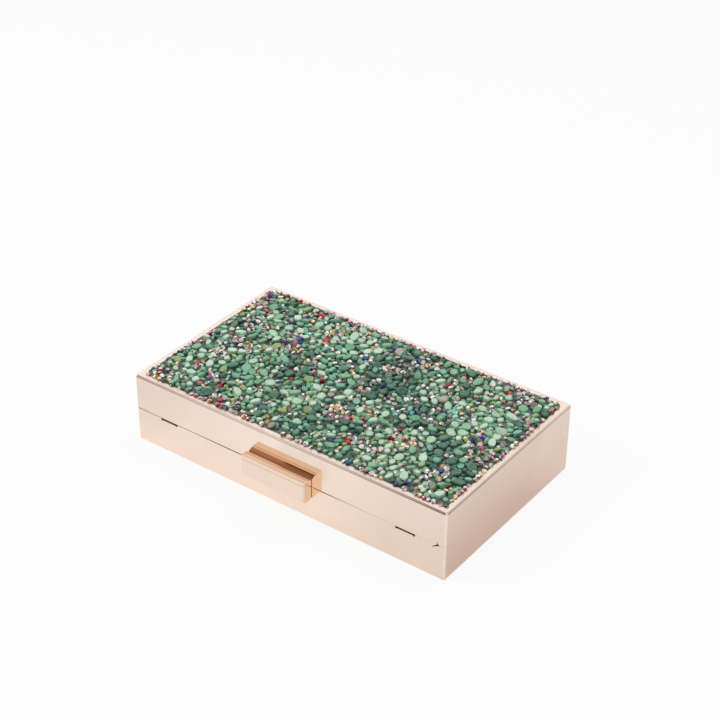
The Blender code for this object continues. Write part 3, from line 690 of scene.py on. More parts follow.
# Painted reflections and highlights along the two clasp bars, painted shade in the groove and the gap
# between them, brighter painted reflections on their ends, and the front bar's satin face with a painted
# dark line below its top
def claspPaintedLight(tree, tone, rough, look):
    ways = splitWays(tree, placeOn(tree))
    depth = mathNode(tree, "SUBTRACT", frontFace, ways["Y"])
    aside = mathNode(tree, "ABSOLUTE", mathNode(tree, "SUBTRACT", ways["X"], claspLook["middle"]))
    ends = smoothStep(tree, aside, *claspLook["ends"])
    top = times(tree, smoothStep(tree, ways["Z"], *claspLook["top"]), ends)
    turn = smoothStep(tree, ways["X"], *claspLook["turn"])
    part = between(tree, turn, claspLook["leftShare"], 1.0)
    valleyShade = mixColours(tree, turn, look["valleyShade"], look["deepValleyShade"])
    strips = (
        ("crown", 1.0, look["crown"]), ("shoulder", 1.0, look["shoulder"]), ("valleyShade", 1.0, valleyShade),
        ("creaseShade", turn, look["creaseShade"]), ("foot", 1.0, look["foot"]), ("backEdge", part, look["backEdge"]),
        ("ridge", 1.0, look["ridge"]), ("browHighlight", 1.0, look["browHighlight"]),
    )
    tone = mixColours(tree, ends, look["flank"], tone)
    for name, share, shade in strips:
        strip = times(tree, band(tree, depth, *claspLook[name]), top)
        tone = mixColours(tree, times(tree, strip, share), tone, shade)
    tone = mixColours(tree, band(tree, depth, *claspLook["split"]), tone, look["deepValleyShade"])
    under = smoothStep(tree, ways["Z"], *claspLook["frontTop"])
    front = times(tree, smoothStep(tree, depth, *claspLook["front"]), under)
    face = mixColours(tree, band(tree, ways["Z"], *claspLook["lip"]), look["face"], look["lip"])
    tone = mixColours(tree, front, tone, face)
    more = times(tree, front, look["faceRough"] - look["rough"][0])
    return tone, mathNode(tree, "ADD", rough, more)


def metalMaterial(name, look):
    surface, tree, shader = newTree(name)
    grain = placeGroup(tree, grainGroup, Fineness=look["grainScale"], Smear=look["smearScale"])
    wornHighlight = placeGroup(tree, wearHighlightGroup, Amount=look["wearHighlight"])
    smears = times(tree, grain.outputs["Smears"], look["smearShare"])
    tone = mixColours(tree, smears, look["colour"], look["smeared"])
    rough = between(tree, grain.outputs["Smears"], *look["rough"])
    # the clasp bars take painted reflections, highlights and shade
    if "valleyShade" in look:
        tone, rough = claspPaintedLight(tree, tone, rough, look)
    # rubbed edges, partly a painted highlight
    tone = mixColours(tree, wornHighlight.outputs["WornHighlight"], tone, look["wornHighlight"])
    # with the painted shade of seams, slots and hairlines
    finishSurface(tree, shader, *addPaintedShade(tree, tone, rough))
    shader.inputs["Metallic"].default_value = 1
    addBump(tree, shader, grain.outputs["Grain"], look)
    return surface


materials = {name: metalMaterial(name, look) for name, look in metalLooks.items()}


# Stones: painted light and shade, the flanks darker and greener as painted shade, the tops paler as a
# painted highlight

stoneLooks = {
    "paleGreen": dict(
        flankDark=(0.105, 0.290, 0.125, 1), flankLight=(0.205, 0.420, 0.205, 1),
        topDark=(0.305, 0.555, 0.345, 1), topLight=(0.535, 0.702, 0.553, 1), veins=(0.77, 0.86, 0.78, 1),
    ),
    "midGreen": dict(
        flankDark=(0.016, 0.100, 0.045, 1), flankLight=(0.055, 0.225, 0.098, 1),
        topDark=(0.072, 0.285, 0.145, 1), topLight=(0.210, 0.465, 0.270, 1), veins=(0.44, 0.66, 0.48, 1),
    ),
    "tealGreen": dict(
        flankDark=(0.006, 0.070, 0.042, 1), flankLight=(0.030, 0.180, 0.115, 1),
        topDark=(0.050, 0.230, 0.155, 1), topLight=(0.180, 0.450, 0.330, 1), veins=(0.42, 0.66, 0.54, 1),
    ),
    "darkGreen": dict(
        flankDark=(0.004, 0.024, 0.015, 1), flankLight=(0.012, 0.065, 0.038, 1),
        topDark=(0.015, 0.066, 0.045, 1), topLight=(0.058, 0.175, 0.110, 1), veins=(0.19, 0.34, 0.25, 1),
    ),
    "oliveGreen": dict(
        flankDark=(0.035, 0.075, 0.012, 1), flankLight=(0.100, 0.190, 0.040, 1),
        topDark=(0.120, 0.220, 0.060, 1), topLight=(0.330, 0.450, 0.160, 1), veins=(0.50, 0.58, 0.34, 1),
    ),
    "greyTaupe": dict(
        flankDark=(0.060, 0.055, 0.045, 1), flankLight=(0.160, 0.140, 0.100, 1),
        topDark=(0.120, 0.115, 0.105, 1), topLight=(0.500, 0.450, 0.340, 1), veins=(0.62, 0.60, 0.54, 1),
    ),
}


# How far up a stone its top begins, how much its veins and flecks show, and its polish
stoneFinish = dict(
    rise=(0.50, 0.96), veins=0.42, flecks=0.35, rough=(0.16, 0.32), bump=0.25, bumpDepth=0.00006,
)


def stoneMaterial(name, look):
    surface, tree, shader = newTree(name)
    clouds = placeGroup(tree, cloudGroup)
    shift = markValue(tree, "stoneTone")
    flank = mixColours(tree, shift, look["flankDark"], look["flankLight"])
    top = mixColours(tree, shift, look["topDark"], look["topLight"])
    # painted light: paler tops, darker flanks
    rise = smoothStep(tree, markValue(tree, "stoneRise"), *stoneFinish["rise"])
    tone = mixColours(tree, rise, flank, top)
    veined = times(tree, clouds.outputs["Clouds"], stoneFinish["veins"])
    tone = mixColours(tree, veined, tone, look["veins"])
    flecks = times(tree, clouds.outputs["Specks"], stoneFinish["flecks"])
    tone = mixColours(tree, flecks, tone, look["flankLight"])
    finishSurface(tree, shader, tone, between(tree, clouds.outputs["Clouds"], *stoneFinish["rough"]))
    addBump(tree, shader, clouds.outputs["Pits"], stoneFinish)
    return surface


# Crystals: every facet has its own painted reflection, from a painted dark, as from the pavilion, to a
# painted glint, as from the foil

crystalLooks = {
    "clearCrystal": dict(
        deep=(0.12, 0.085, 0.075, 1), body=(0.56, 0.51, 0.45, 1), flash=(1.0, 0.985, 0.95, 1),
    ),
    "amberCrystal": dict(
        deep=(0.21, 0.075, 0.025, 1), body=(0.70, 0.41, 0.18, 1), flash=(1.0, 0.88, 0.64, 1),
    ),
    "roseCrystal": dict(
        deep=(0.14, 0.020, 0.05, 1), body=(0.52, 0.13, 0.21, 1), flash=(1.0, 0.74, 0.78, 1),
    ),
    "redCrystal": dict(
        deep=(0.12, 0.001, 0.006, 1), body=(0.52, 0.006, 0.022, 1), flash=(0.85, 0.09, 0.11, 1),
    ),
    "blueCrystal": dict(
        deep=(0.004, 0.004, 0.04, 1), body=(0.012, 0.013, 0.17, 1), flash=(0.16, 0.17, 0.52, 1),
    ),
    "seaCrystal": dict(
        deep=(0.0, 0.10, 0.09, 1), body=(0.02, 0.50, 0.47, 1), flash=(0.50, 0.95, 0.88, 1),
    ),
    "smokeCrystal": dict(
        deep=(0.010, 0.014, 0.016, 1), body=(0.07, 0.085, 0.09, 1), flash=(0.52, 0.54, 0.56, 1),
    ),
}
crystalFinish = dict(
    stops=((0.0, "deep"), (0.20, "deep"), (0.42, "body"), (0.58, "body"), (0.72, "flash")),
    cloud=900.0,
    inner=0.22,
    rough=(0.06, 0.16),
    foil=(0.12, 0.57),
    ior=1.6,
    coat=0.15,
    coatRough=0.03,
)


def crystalMaterial(name, look):
    surface, tree, shader = newTree(name)
    facet = markValue(tree, "facetTone")
    tone = ramp(tree, facet, [(place, look[tone]) for place, tone in crystalFinish["stops"]])
    clouds = placeGroup(tree, cloudGroup, Cloud=crystalFinish["cloud"])
    inner = times(tree, clouds.outputs["Clouds"], crystalFinish["inner"])
    tone = mixColours(tree, inner, tone, look["body"])
    finishSurface(tree, shader, tone, between(tree, clouds.outputs["Specks"], *crystalFinish["rough"]))
    wire(tree, between(tree, facet, *crystalFinish["foil"]), shader.inputs["Metallic"])
    shader.inputs["IOR"].default_value = crystalFinish["ior"]
    shader.inputs["Coat Weight"].default_value = crystalFinish["coat"]
    shader.inputs["Coat Roughness"].default_value = crystalFinish["coatRough"]
    return surface


# The bed under the stones: dark green resin, paler where it pools, with grit in it
resinLook = dict(
    cloud=240.0, speck=900.0, dark=(0.030, 0.060, 0.038, 1), pale=(0.14, 0.18, 0.13, 1),
    grit=(0.45, 0.46, 0.42, 1), rough=(0.12, 0.42), bump=0.5, bumpDepth=0.0002,
)


def resinMaterial():
    surface, tree, shader = newTree("resinBed")
    clouds = placeGroup(tree, cloudGroup, Cloud=resinLook["cloud"], Speck=resinLook["speck"])
    tone = mixColours(tree, clouds.outputs["Clouds"], resinLook["dark"], resinLook["pale"])
    tone = mixColours(tree, clouds.outputs["Specks"], tone, resinLook["grit"])
    finishSurface(tree, shader, tone, between(tree, clouds.outputs["Pits"], *resinLook["rough"]))
    addBump(tree, shader, clouds.outputs["Clouds"], resinLook)
    return surface


satinLook = dict(
    dark=(0.56, 0.43, 0.36, 1), pale=(0.74, 0.61, 0.53, 1), rough=(0.36, 0.56), sheen=0.35,
    bump=0.35, bumpDepth=0.00006,
)


def satinMaterial():
    surface, tree, shader = newTree("liningSatin")
    weave = placeGroup(tree, weaveGroup)
    tone = mixColours(tree, weave.outputs["Sheen"], satinLook["dark"], satinLook["pale"])
    finishSurface(tree, shader, tone, between(tree, weave.outputs["Sheen"], *satinLook["rough"]))
    shader.inputs["Sheen Weight"].default_value = satinLook["sheen"]
    addBump(tree, shader, weave.outputs["Height"], satinLook)
    return surface


for name, look in stoneLooks.items():
    materials[name] = stoneMaterial(name, look)
for name, look in crystalLooks.items():
    materials[name] = crystalMaterial(name, look)
materials["resinBed"] = resinMaterial()
materials["liningSatin"] = satinMaterial()
print("materials ready:", len(materials))


def finishPiece(piece, material, body, slot, *nodes):
    piece.data.materials.clear()
    piece.data.materials.append(materials[material])
    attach(piece, body)
    if nodes:
        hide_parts(*nodes)


# Marks points for a material: each with what amountAt says of its place, from 0 to 1
def markPoints(piece, mark, amountAt):
    layer = piece.data.attributes.new(mark, "FLOAT", "POINT")
    layer.data.foreach_set("value", [float(amountAt(point.co)) for point in piece.data.vertices])


# Shells

shellLook = dict(
    wall=0.0012,
    cornerRadius=0.0012,
    cornerSteps=6,
    rimWidth=0.0032,
    rimChamfer=0.0007,
    lipRound=0.00007,
    lipSteps=2,
    overrun=0.002,
    rowSpacing=0.0075,
    seamWide=0.00046,
    hairline=0.00010,
    hairlineDepth=0.00015,
    windowRadius=0.0030,
    rubbedHighlightShare=0.95,
    slack=0.00004,
    merge=0.000004,
)

# How far the seam stands open, as a share of its widest, along the box from left to right
seamShares = (
    (-0.0905, 0.80), (-0.076, 0.40), (-0.050, 0.60), (-0.036, 1.0), (0.024, 1.0), (0.034, 0.45),
    (0.046, 0.16), (0.056, 0.04), (0.0905, 0.04),
)
# Painted reflection on the rim's chamfer and painted shade in its hairlines
# How dark the rim's chamfer is, within a width from the outer faces: along the front from its middle
# to its reach on either side, along a side from the back end to the front end, how much more in the
# hairlines, and which share of it is left at the top
rimPaintedShade = dict(
    width=0.00108, sunk=0.52,
    front=0.06, frontMore=0.88, frontMiddle=-0.012, frontReach=0.10, frontTop=0.48,
    side=0.30, sideMore=0.40, sideTop=0.12,
)
# Darker at the foot, and painted shade on the faces cut through the wall: seam, slots, nick and holes
footDarkening = dict(height=0.0005, amount=0.14)
lipShade = dict(depth=0.00075, base=1.0, lid=0.5, inner=0.15)

# Each slot's place is its middle and its length
slotLook = dict(places=((-0.0697, 0.0104), (0.0689, 0.0107)), foot=0.0010, eye=0.00056, eyeDrop=0.00022)
hingeLook = dict(halfLength=0.0803, spaceHeight=0.0017)
screwLook = dict(middle=0.0042, reach=0.012, hole=0.0011)
notchLook = dict(armLength=0.0046, gap=0.0003, below=0.0013)

# A small star-shaped nick in the seam near the front right corner: way, length and width of each arm
nickLook = dict(
    place=(0.0864, 0.01875),
    depth=0.0007,
    middle=0.00050,
    middleSides=12,
    taper=0.4,
    arms=((214, 0.0036, 0.00050), (106, 0.0022, 0.00044), (-2, 0.0038, 0.00028)),
)


def insideOf(low, high, wall):
    return Vector((low.x + wall, low.y + wall, 0)), Vector((high.x - wall, high.y - wall, 0))


def roundUprights(piece, radius=shellLook["cornerRadius"], alsoAt=None):
    def picked(a, b):
        return sameUpright(a, b) or (alsoAt is not None and bothAt(a, b, alsoAt))

    roundEdges(piece, picked, radius, shellLook["cornerSteps"])


def cutHingeSpace(shell):
    over, wall, reach = shellLook["overrun"], shellLook["wall"], hingeLook["halfLength"]
    tall = hingeLook["spaceHeight"]
    low = (-reach, backFace - wall - over, seamHeight - tall)
    cutBox(shell, low, (reach, backFace + over, seamHeight + tall))


# Each strap slot is open to the seam, a little deeper at its two ends
def cutSlots(shell):
    over, wall, eye = shellLook["overrun"], shellLook["wall"], slotLook["eye"]
    for middle, length in slotLook["places"]:
        eyeReach = length / 2 - eye
        low = (middle - eyeReach - eye, frontFace - over, seamHeight - slotLook["foot"])
        high = (middle + eyeReach + eye, frontFace + wall + over, seamHeight + over)
        cutBox(shell, low, high)
        for end in (-1, 1):
            place = (middle + end * eyeReach, frontFace, seamHeight - slotLook["eyeDrop"] - eye)
            cutHole(shell, place, eye, 2 * (wall + over), "Y")


def cutArmNotches(shell):
    over, wall, gap = shellLook["overrun"], shellLook["wall"], notchLook["gap"]
    armLow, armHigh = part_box("catch_bracket")
    pinLow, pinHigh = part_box("catch_pin")
    foot = (pinHigh.z + pinLow.z) / 2 - notchLook["below"]
    for left in (armLow.x, armHigh.x - notchLook["armLength"]):
        low = (left - gap, frontFace - over, foot)
        high = (left + notchLook["armLength"] + gap, frontFace + wall + over, baseHigh.z + over)
        cutBox(shell, low, high)


def cutNick(shell):
    x, z = nickLook["place"]
    middle, sides = nickLook["middle"], nickLook["middleSides"]
    cutHole(shell, (x, frontFace, z), middle, 2 * nickLook["depth"], "Y", sides)
    for degrees, length, width in nickLook["arms"]:
        angle = math.radians(degrees)
        way = Vector((math.cos(angle), 0, math.sin(angle)))
        deselectAll()
        bpy.ops.mesh.primitive_cone_add(
            vertices=4,
            radius1=width,
            radius2=width * nickLook["taper"],
            depth=length,
            location=Vector((x, frontFace, z)) + way * length / 2,
            rotation=way.to_track_quat("Z", "Y").to_euler(),
        )
        arm = bpy.context.object
        bakePlace(arm)
        cutWith(shell, arm)


def rowPlaces():
    spacing = shellLook["rowSpacing"]
    count = int((baseHigh.x - shellLook["cornerRadius"]) / spacing)
    return [row * spacing for row in range(-count, count + 1)]


def seamWidth(x):
    for (first, share), (last, nextShare) in zip(seamShares, seamShares[1:]):
        if x <= last:
            break
    along = min(max((x - first) / (last - first), 0), 1)
    return shellLook["seamWide"] * (share + (nextShare - share) * along)


# The seam stands open by the clasp and closes towards the right, as on a lid that has been shut often
def setSeam(shell, edge, side):
    def lift(point):
        if near(point.z, edge, 3 * shellLook["lipRound"]):
            point.z += seamHeight + side * seamWidth(point.x) / 2 - edge

    movePoints(shell, lift)


# A fine sunk line along the edges at a height
def sinkHairline(shell, height):
    pickEdges(shell, lambda a, b: bothAt(a, b, height))
    bpy.ops.mesh.bevel(offset=shellLook["hairline"], segments=1, affect="EDGES")
    bpy.ops.mesh.select_mode(type="FACE")
    bpy.ops.mesh.extrude_region_shrink_fatten(
        TRANSFORM_OT_shrink_fatten={"value": -shellLook["hairlineDepth"]}
    )
    editOff()


# How much painted shade a point of the wall or the rim carries: most on the outer side of the seam and in
# the nick and the hairlines, some on the chamfer between those as painted reflection, a little darkening
# at the foot, none at the rim's corners
def paintedShadeAt(point):
    radius, wall, slack = shellLook["cornerRadius"], shellLook["wall"], shellLook["slack"]
    across = abs(point.x) - (baseHigh.x - radius)
    along = abs(point.y) - (baseHigh.y - radius)
    cornered = across > slack and along > slack
    gap = radius - (math.hypot(across, along) if cornered else max(across, along))
    chamferFoot = lidHigh.z - shellLook["rimChamfer"]
    if point.z > chamferFoot - 2 * shellLook["hairline"]:
        if cornered or gap > rimPaintedShade["width"] or min(lidHigh.z - point.z, gap) <= slack:
            return 0
        if across > along:
            amount = rimPaintedShade["side"] + rimPaintedShade["sideMore"] * (baseHigh.y - point.y) / (2 * baseHigh.y)
            topShare = rimPaintedShade["sideTop"]
        else:
            away = (point.x - rimPaintedShade["frontMiddle"]) / rimPaintedShade["frontReach"]
            amount = rimPaintedShade["front"] + rimPaintedShade["frontMore"] * away * away
            topShare = rimPaintedShade["frontTop"]
        sunk = (gap - (point.z - chamferFoot)) / math.sqrt(2) > shellLook["hairlineDepth"] / 2
        deep = (lidHigh.z - point.z) / shellLook["rimChamfer"]
        return min((amount + rimPaintedShade["sunk"] * sunk) * (topShare + (1 - topShare) * deep), 1)
    if point.z < footDarkening["height"]:
        return footDarkening["amount"]
    if point.z < 2 * radius or not slack < gap < wall - slack:
        return 0
    if gap > lipShade["depth"]:
        return lipShade["inner"]
    return lipShade["base"] if point.z < seamHeight else lipShade["lid"]


# Rounded upright corners and lower edges, where hands and tables rub and where a painted highlight
# brightens them
def onCorner(point):
    inset = shellLook["cornerRadius"] * shellLook["rubbedHighlightShare"]
    beside = abs(point.x) > baseHigh.x - inset
    ahead = abs(point.y) > baseHigh.y - inset
    below = point.z < inset
    return beside + ahead + below > 1


def tidyShell(shell):
    editAll(shell)
    bpy.ops.mesh.remove_doubles(threshold=shellLook["merge"])
    bpy.ops.mesh.normals_make_consistent(inside=False)
    editOff()
    shadeSmooth(shell)
    markPoints(shell, "edgeBand", onCorner)
    # painted shade in seams, slots, nick and hairlines and on the rim's chamfer
    markPoints(shell, "paintedShade", paintedShadeAt)
    firmNormals(shell)


def buildBaseShell():
    shell = addBox("baseShell", baseLow, baseHigh)
    roundUprights(shell, alsoAt=baseLow.z)
    wall, over = shellLook["wall"], shellLook["overrun"]
    innerLow, innerHigh = insideOf(baseLow, baseHigh, wall)
    innerLow.z, innerHigh.z = wall, baseHigh.z + over
    cutBox(shell, innerLow, innerHigh)
    roundEdges(
        shell, lambda a, b: bothAt(a, b, baseHigh.z), shellLook["lipRound"], shellLook["lipSteps"]
    )
    addRows(shell, rowPlaces(), (1, 0, 0))
    setSeam(shell, baseHigh.z, -1)
    cutHingeSpace(shell)
    cutSlots(shell)
    cutArmNotches(shell)
    cutNick(shell)
    tidyShell(shell)
    finishPiece(shell, "roseSatin", "base", "base_shell", "base_shell")


def buildLidShell():
    shell = addBox("lidShell", lidLow, lidHigh)
    roundUprights(shell)
    roundEdges(shell, lambda a, b: bothAt(a, b, lidHigh.z), shellLook["rimChamfer"], 1)
    addRows(shell, rowPlaces(), (1, 0, 0))
    sinkHairline(shell, lidHigh.z - shellLook["rimChamfer"])
    sinkHairline(shell, lidHigh.z)
    wall, over, rim = shellLook["wall"], shellLook["overrun"], shellLook["rimWidth"]
    innerLow, innerHigh = insideOf(lidLow, lidHigh, wall)
    innerLow.z, innerHigh.z = lidLow.z - over, lidHigh.z - wall
    cutBox(shell, innerLow, innerHigh)
    windowLow, windowHigh = insideOf(lidLow, lidHigh, rim)
    windowLow.z, windowHigh.z = lidHigh.z - wall - over, lidHigh.z + over
    window = addBox("cutter", windowLow, windowHigh)
    roundUprights(window, shellLook["windowRadius"])
    cutWith(shell, window)

    def onWindow(co):
        return abs(co.x) < windowHigh.x + wall / 2 and abs(co.y) < windowHigh.y + wall / 2

    def onLip(a, b):
        return bothAt(a, b, lidLow.z) or (bothAt(a, b, lidHigh.z) and onWindow(a) and onWindow(b))

    roundEdges(shell, onLip, shellLook["lipRound"], shellLook["lipSteps"])
    setSeam(shell, lidLow.z, 1)
    cutHingeSpace(shell)
    screwLow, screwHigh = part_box("clasp_screw_left")
    height = (screwLow.z + screwHigh.z) / 2
    for side in (-1, 1):
        place = (screwLook["middle"] + side * screwLook["reach"], frontFace, height)
        cutHole(shell, place, screwLook["hole"], 2 * (wall + over), "Y")
    cutNick(shell)
    tidyShell(shell)
    finishPiece(shell, "roseSatin", "lid", "lid_shell", "lid_shell")


buildBaseShell()
buildLidShell()
print("shells ready")


# Clasp bars: a crest, a long slope towards the front and a shorter one towards the back

barLook = dict(rows=20, edgeRound=0.0002, edgeSteps=2, smooth=35)
lidBarLook = dict(crestBack=0.0029, frontRadius=0.0078, backRadius=0.5, faceRound=0.0003, faceSteps=3)
catchBarLook = dict(crestBack=0.0040, frontRadius=0.0090, backRadius=0.0090, faceRound=0.0013, faceSteps=8)
lugLook = dict(halfLength=0.003, radius=0.001, bore=0.00055, sunk=0.0003)


def buildBar(name, low, high, look):
    def onFace(a, b):
        return near(a.y, low.y) and near(b.y, low.y)

    bar = addBox(name, low, high)
    roundEdges(bar, onFace, look["faceRound"], look["faceSteps"])
    first, last, rows = low.y + look["faceRound"], high.y, barLook["rows"]
    addRows(bar, [first + (last - first) * row / rows for row in range(1, rows)], (0, 1, 0))
    crest = high.y - look["crestBack"]
    middle = (low.z + high.z) / 2

    def curve(point):
        if point.z > middle:
            away = point.y - crest
            radius = look["backRadius"] if away > 0 else look["frontRadius"]
            point.z -= radius - math.sqrt(radius * radius - away * away)

    def overEnd(a, b):
        onEnd = any(near(a.x, end) and near(b.x, end) for end in (low.x, high.x))
        return onEnd and min(a.z, b.z) > middle

    movePoints(bar, curve)
    roundEdges(bar, overEnd, barLook["edgeRound"], barLook["edgeSteps"])
    return bar


def finishBar(bar, body, node):
    shadeSmooth(bar, barLook["smooth"])
    markPoints(bar, "edgeBand", lambda co: False)
    firmNormals(bar)
    finishPiece(bar, "roseMirror", body, "clasp_copper", node)
    bar.visible_glossy = False  # the satin walls show no image of the bars


def buildLidBar():
    low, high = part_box("lid_clasp_bar")
    bar = buildBar("lidClaspBar", low, high, lidBarLook)
    finishBar(bar, "lid", "lid_clasp_bar")


def buildCatchBar():
    low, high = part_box("catch_bar")
    low.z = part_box("lid_clasp_bar")[0].z
    bar = buildBar("catchBar", low, high, catchBarLook)
    pinLow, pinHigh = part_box("catch_pin")
    axis = (pinLow + pinHigh) / 2
    reach, radius = lugLook["halfLength"], lugLook["radius"]
    lugLow = (axis.x - reach, axis.y - radius, axis.z)
    lug = addBox("lug", lugLow, (axis.x + reach, axis.y + radius, low.z + lugLook["sunk"]))
    barrel = addRod("lugBarrel", axis, radius, 2 * reach, "X")
    for body, more in ((lug, barrel), (bar, lug)):
        applyModifier(body, "BOOLEAN", operation="UNION", solver="EXACT", object=more)
        bpy.data.objects.remove(more, do_unlink=True)
    cutHole(bar, axis, lugLook["bore"], 4 * reach, "X")
    finishBar(bar, "catch", "catch_bar")


buildLidBar()
buildCatchBar()
print("clasp ready")


# Strips, pins, springs and screws keep the frame's own shapes

stripNodes = (
    "base_inner_lip", "strap_anchor_left", "strap_anchor_right", "base_hinge_leaf", "lid_hinge_leaf",
    "catch_bracket", "panel_plate", "panel_clip_front_left", "panel_clip_front_right",
    "panel_clip_back_left", "panel_clip_back_right",
)
steelNodes = (
    "hinge_pin", "catch_pin", "catch_spring_left", "catch_spring_right", "clasp_screw_left",
    "clasp_screw_right",
)
for names, material in ((stripNodes, "brassStrip"), (steelNodes, "pinSteel")):
    for name in names:
        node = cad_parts[name]
        node.data.materials.clear()
        node.data.materials.append(materials[material])


# Stone panel

panelLook = dict(
    seed=2107,
    inset=0.0033,
    bedLow=0.03645,
    bedHigh=0.03735,
    top=0.0395,
    cell=0.0035,
    cornerRadius=0.0028,
    bedRim=0.0001,
    bedWave=0.00022,
    bedWaveScale=420,
    bedSmooth=50,
)

# Slow waves over the panel: their scale, their slice of the noise, and how they are read
clusterWave = dict(scale=78.0, slice=3.1, level=0.27)
familyWave = dict(scale=46.0, slice=7.7, pull=2.6)

# Each pass: smallest and largest radius, number of tries
pebbleLook = dict(
    shapes=14,
    passes=((0.0028, 0.0034, 1300), (0.0022, 0.0027, 7500), (0.0017, 0.0021, 5500)),
    smallPasses=((0.00135, 0.0017, 5000),),
    closeness=0.85,
    overhang=0.0006,
    flatness=(0.42, 0.60),
    narrowness=(0.62, 0.95),
    halfHeights=(0.0007, 0.00112),
    seat=(0.50, 0.95),
    lean=0.20,
    tone=(0.5, 0.33),
)

fillLook = dict(passes=((0.0015, 0.0020, 7000),), closeness=0.55, overhang=0.0, rise=(0.0, 0.0004))

crystalLook = dict(
    clusterPasses=((0.00150, 0.00185, 3200), (0.00125, 0.00145, 2400)),
    loosePasses=((0.00130, 0.00165, 190),),
    gapPasses=((0.00120, 0.00145, 3000),),
    closeness=0.80,
    rise=(0.0001, 0.0007),
    riseShare=0.15,
    lean=0.40,
    tones=(0.05, 0.85),
    tableTones=(0.25, 0.92),
    rimSpacing=0.0026,
    rimRun=(0.3, 0.7),
    rimWave=(60, 3.0, 90),
    rimShare=0.64,
    rimRadii=(0.00115, 0.00155),
    rimOverhang=0.0007,
)

pebbleShares = dict(
    paleGreen=0.39, midGreen=0.27, tealGreen=0.13, darkGreen=0.11, oliveGreen=0.07, greyTaupe=0.03,
)
familyLeans = dict(
    paleGreen=1.6, midGreen=0.3, tealGreen=-0.4, darkGreen=-1.8, oliveGreen=0.6, greyTaupe=0.0,
)
fillShares = dict(darkGreen=0.40, midGreen=0.40, tealGreen=0.10, oliveGreen=0.10)
crystalShares = dict(
    clearCrystal=0.58, amberCrystal=0.17, roseCrystal=0.10, smokeCrystal=0.06, redCrystal=0.025,
    blueCrystal=0.045, seaCrystal=0.02,
)
rimShares = dict(
    clearCrystal=0.50, amberCrystal=0.16, roseCrystal=0.18, smokeCrystal=0.10, redCrystal=0.03,
    blueCrystal=0.03,
)


# A chip before it is sized: it reaches about 1 from its middle
pebbleShape = dict(
    sides=(5, 6, 7, 6),
    reach=(0.84, 1.14),
    shift=(-0.20, 0.20),
    upper=(0.76, 0.92),
    lower=(0.80, 1.0),
    slope=(-0.22, 0.22),
    bevel=0.26,
    merge=0.03,
    topLevel=0.85,
    topSides=5,
    inset=0.16,
    crown=0.03,
    smooth=(60, 28, 28),
)

# A crystal before it is sized: how high its girdle, crown and pavilion are, how wide its table and point
crystalShape = dict(sides=(8, 7, 6), girdle=0.16, crown=0.42, table=0.55, pavilion=0.75, point=0.12)


# A tumbled chip: an uneven prism with blunt edges and a flat top
def modelPebble(index, rng):
    deselectAll()
    look = pebbleShape
    sides = look["sides"][index % len(look["sides"])]
    bpy.ops.mesh.primitive_cylinder_add(vertices=sides, radius=1, depth=2, end_fill_type="NGON")
    pebble = bpy.context.object
    pebble.name = f"pebbleShape{index}"
    corners = [(rng.uniform(*look["reach"]), rng.uniform(*look["shift"])) for _ in range(sides)]
    upper, lower = rng.uniform(*look["upper"]), rng.uniform(*look["lower"])
    slope = (rng.uniform(*look["slope"]), rng.uniform(*look["slope"]))

    def roughen(point):
        angle = math.atan2(point.y, point.x)
        reach, shift = corners[round(angle / (2 * math.pi) * sides) % sides]
        reach *= upper if point.z > 0 else lower
        point.x, point.y = reach * math.cos(angle + shift), reach * math.sin(angle + shift)
        if point.z > 0:
            point.z += slope[0] * point.x + slope[1] * point.y

    movePoints(pebble, roughen)
    editAll(pebble)
    bpy.ops.mesh.bevel(offset=look["bevel"], segments=1, affect="EDGES", clamp_overlap=True)
    bpy.ops.mesh.select_all(action="SELECT")
    bpy.ops.mesh.remove_doubles(threshold=look["merge"])
    bpy.ops.mesh.normals_make_consistent(inside=False)
    editOff()
    pickFaces(pebble, lambda f: f.normal.z > look["topLevel"] and len(f.verts) >= look["topSides"])
    bpy.ops.mesh.inset(thickness=look["inset"], depth=look["crown"])
    editOff()
    shadeSmooth(pebble, look["smooth"][index % len(look["smooth"])])
    firmNormals(pebble)
    heights = [point.co.z for point in pebble.data.vertices]
    low, high = min(heights), max(heights)
    layer = pebble.data.attributes.new("stoneRise", "FLOAT", "POINT")
    layer.data.foreach_set("value", [(height - low) / (high - low) for height in heights])
    return pebble


# A cut crystal: table, crown, girdle and pavilion
def modelCrystal(index, sides):
    deselectAll()
    look = crystalShape
    bpy.ops.mesh.primitive_cylinder_add(vertices=sides, radius=1, depth=look["girdle"])
    crystal = bpy.context.object
    crystal.name = f"crystalShape{index}"
    for side, length, share in ((1, look["crown"], look["table"]), (-1, look["pavilion"], look["point"])):
        pickFacing(crystal, 2, side)
        bpy.ops.mesh.extrude_region_move(TRANSFORM_OT_translate={"value": (0, 0, side * length)})
        bpy.ops.transform.resize(value=(share, share, 1), center_override=(0, 0, 0))
        editOff()
    return crystal


def hasRoom(field, x, y, radius, closeness):
    cell = panelLook["cell"]
    column, row = int(x // cell), int(y // cell)
    for i in range(column - 2, column + 3):
        for j in range(row - 2, row + 3):
            for otherX, otherY, other in field.get((i, j), ()):
                reach = (radius + other) * closeness
                if (x - otherX) ** 2 + (y - otherY) ** 2 < reach * reach:
                    return False
    return True


def takeRoom(field, x, y, radius):
    cell = panelLook["cell"]
    field.setdefault((int(x // cell), int(y // cell)), []).append((x, y, radius))


def choose(rng, shares):
    return rng.choices(list(shares), weights=list(shares.values()))[0]


def nearCorner(x, y, halfLength, halfWidth):
    radius = panelLook["cornerRadius"]
    across, along = abs(x) - halfLength + radius, abs(y) - halfWidth + radius
    return across > 0 and along > 0 and across + along > radius


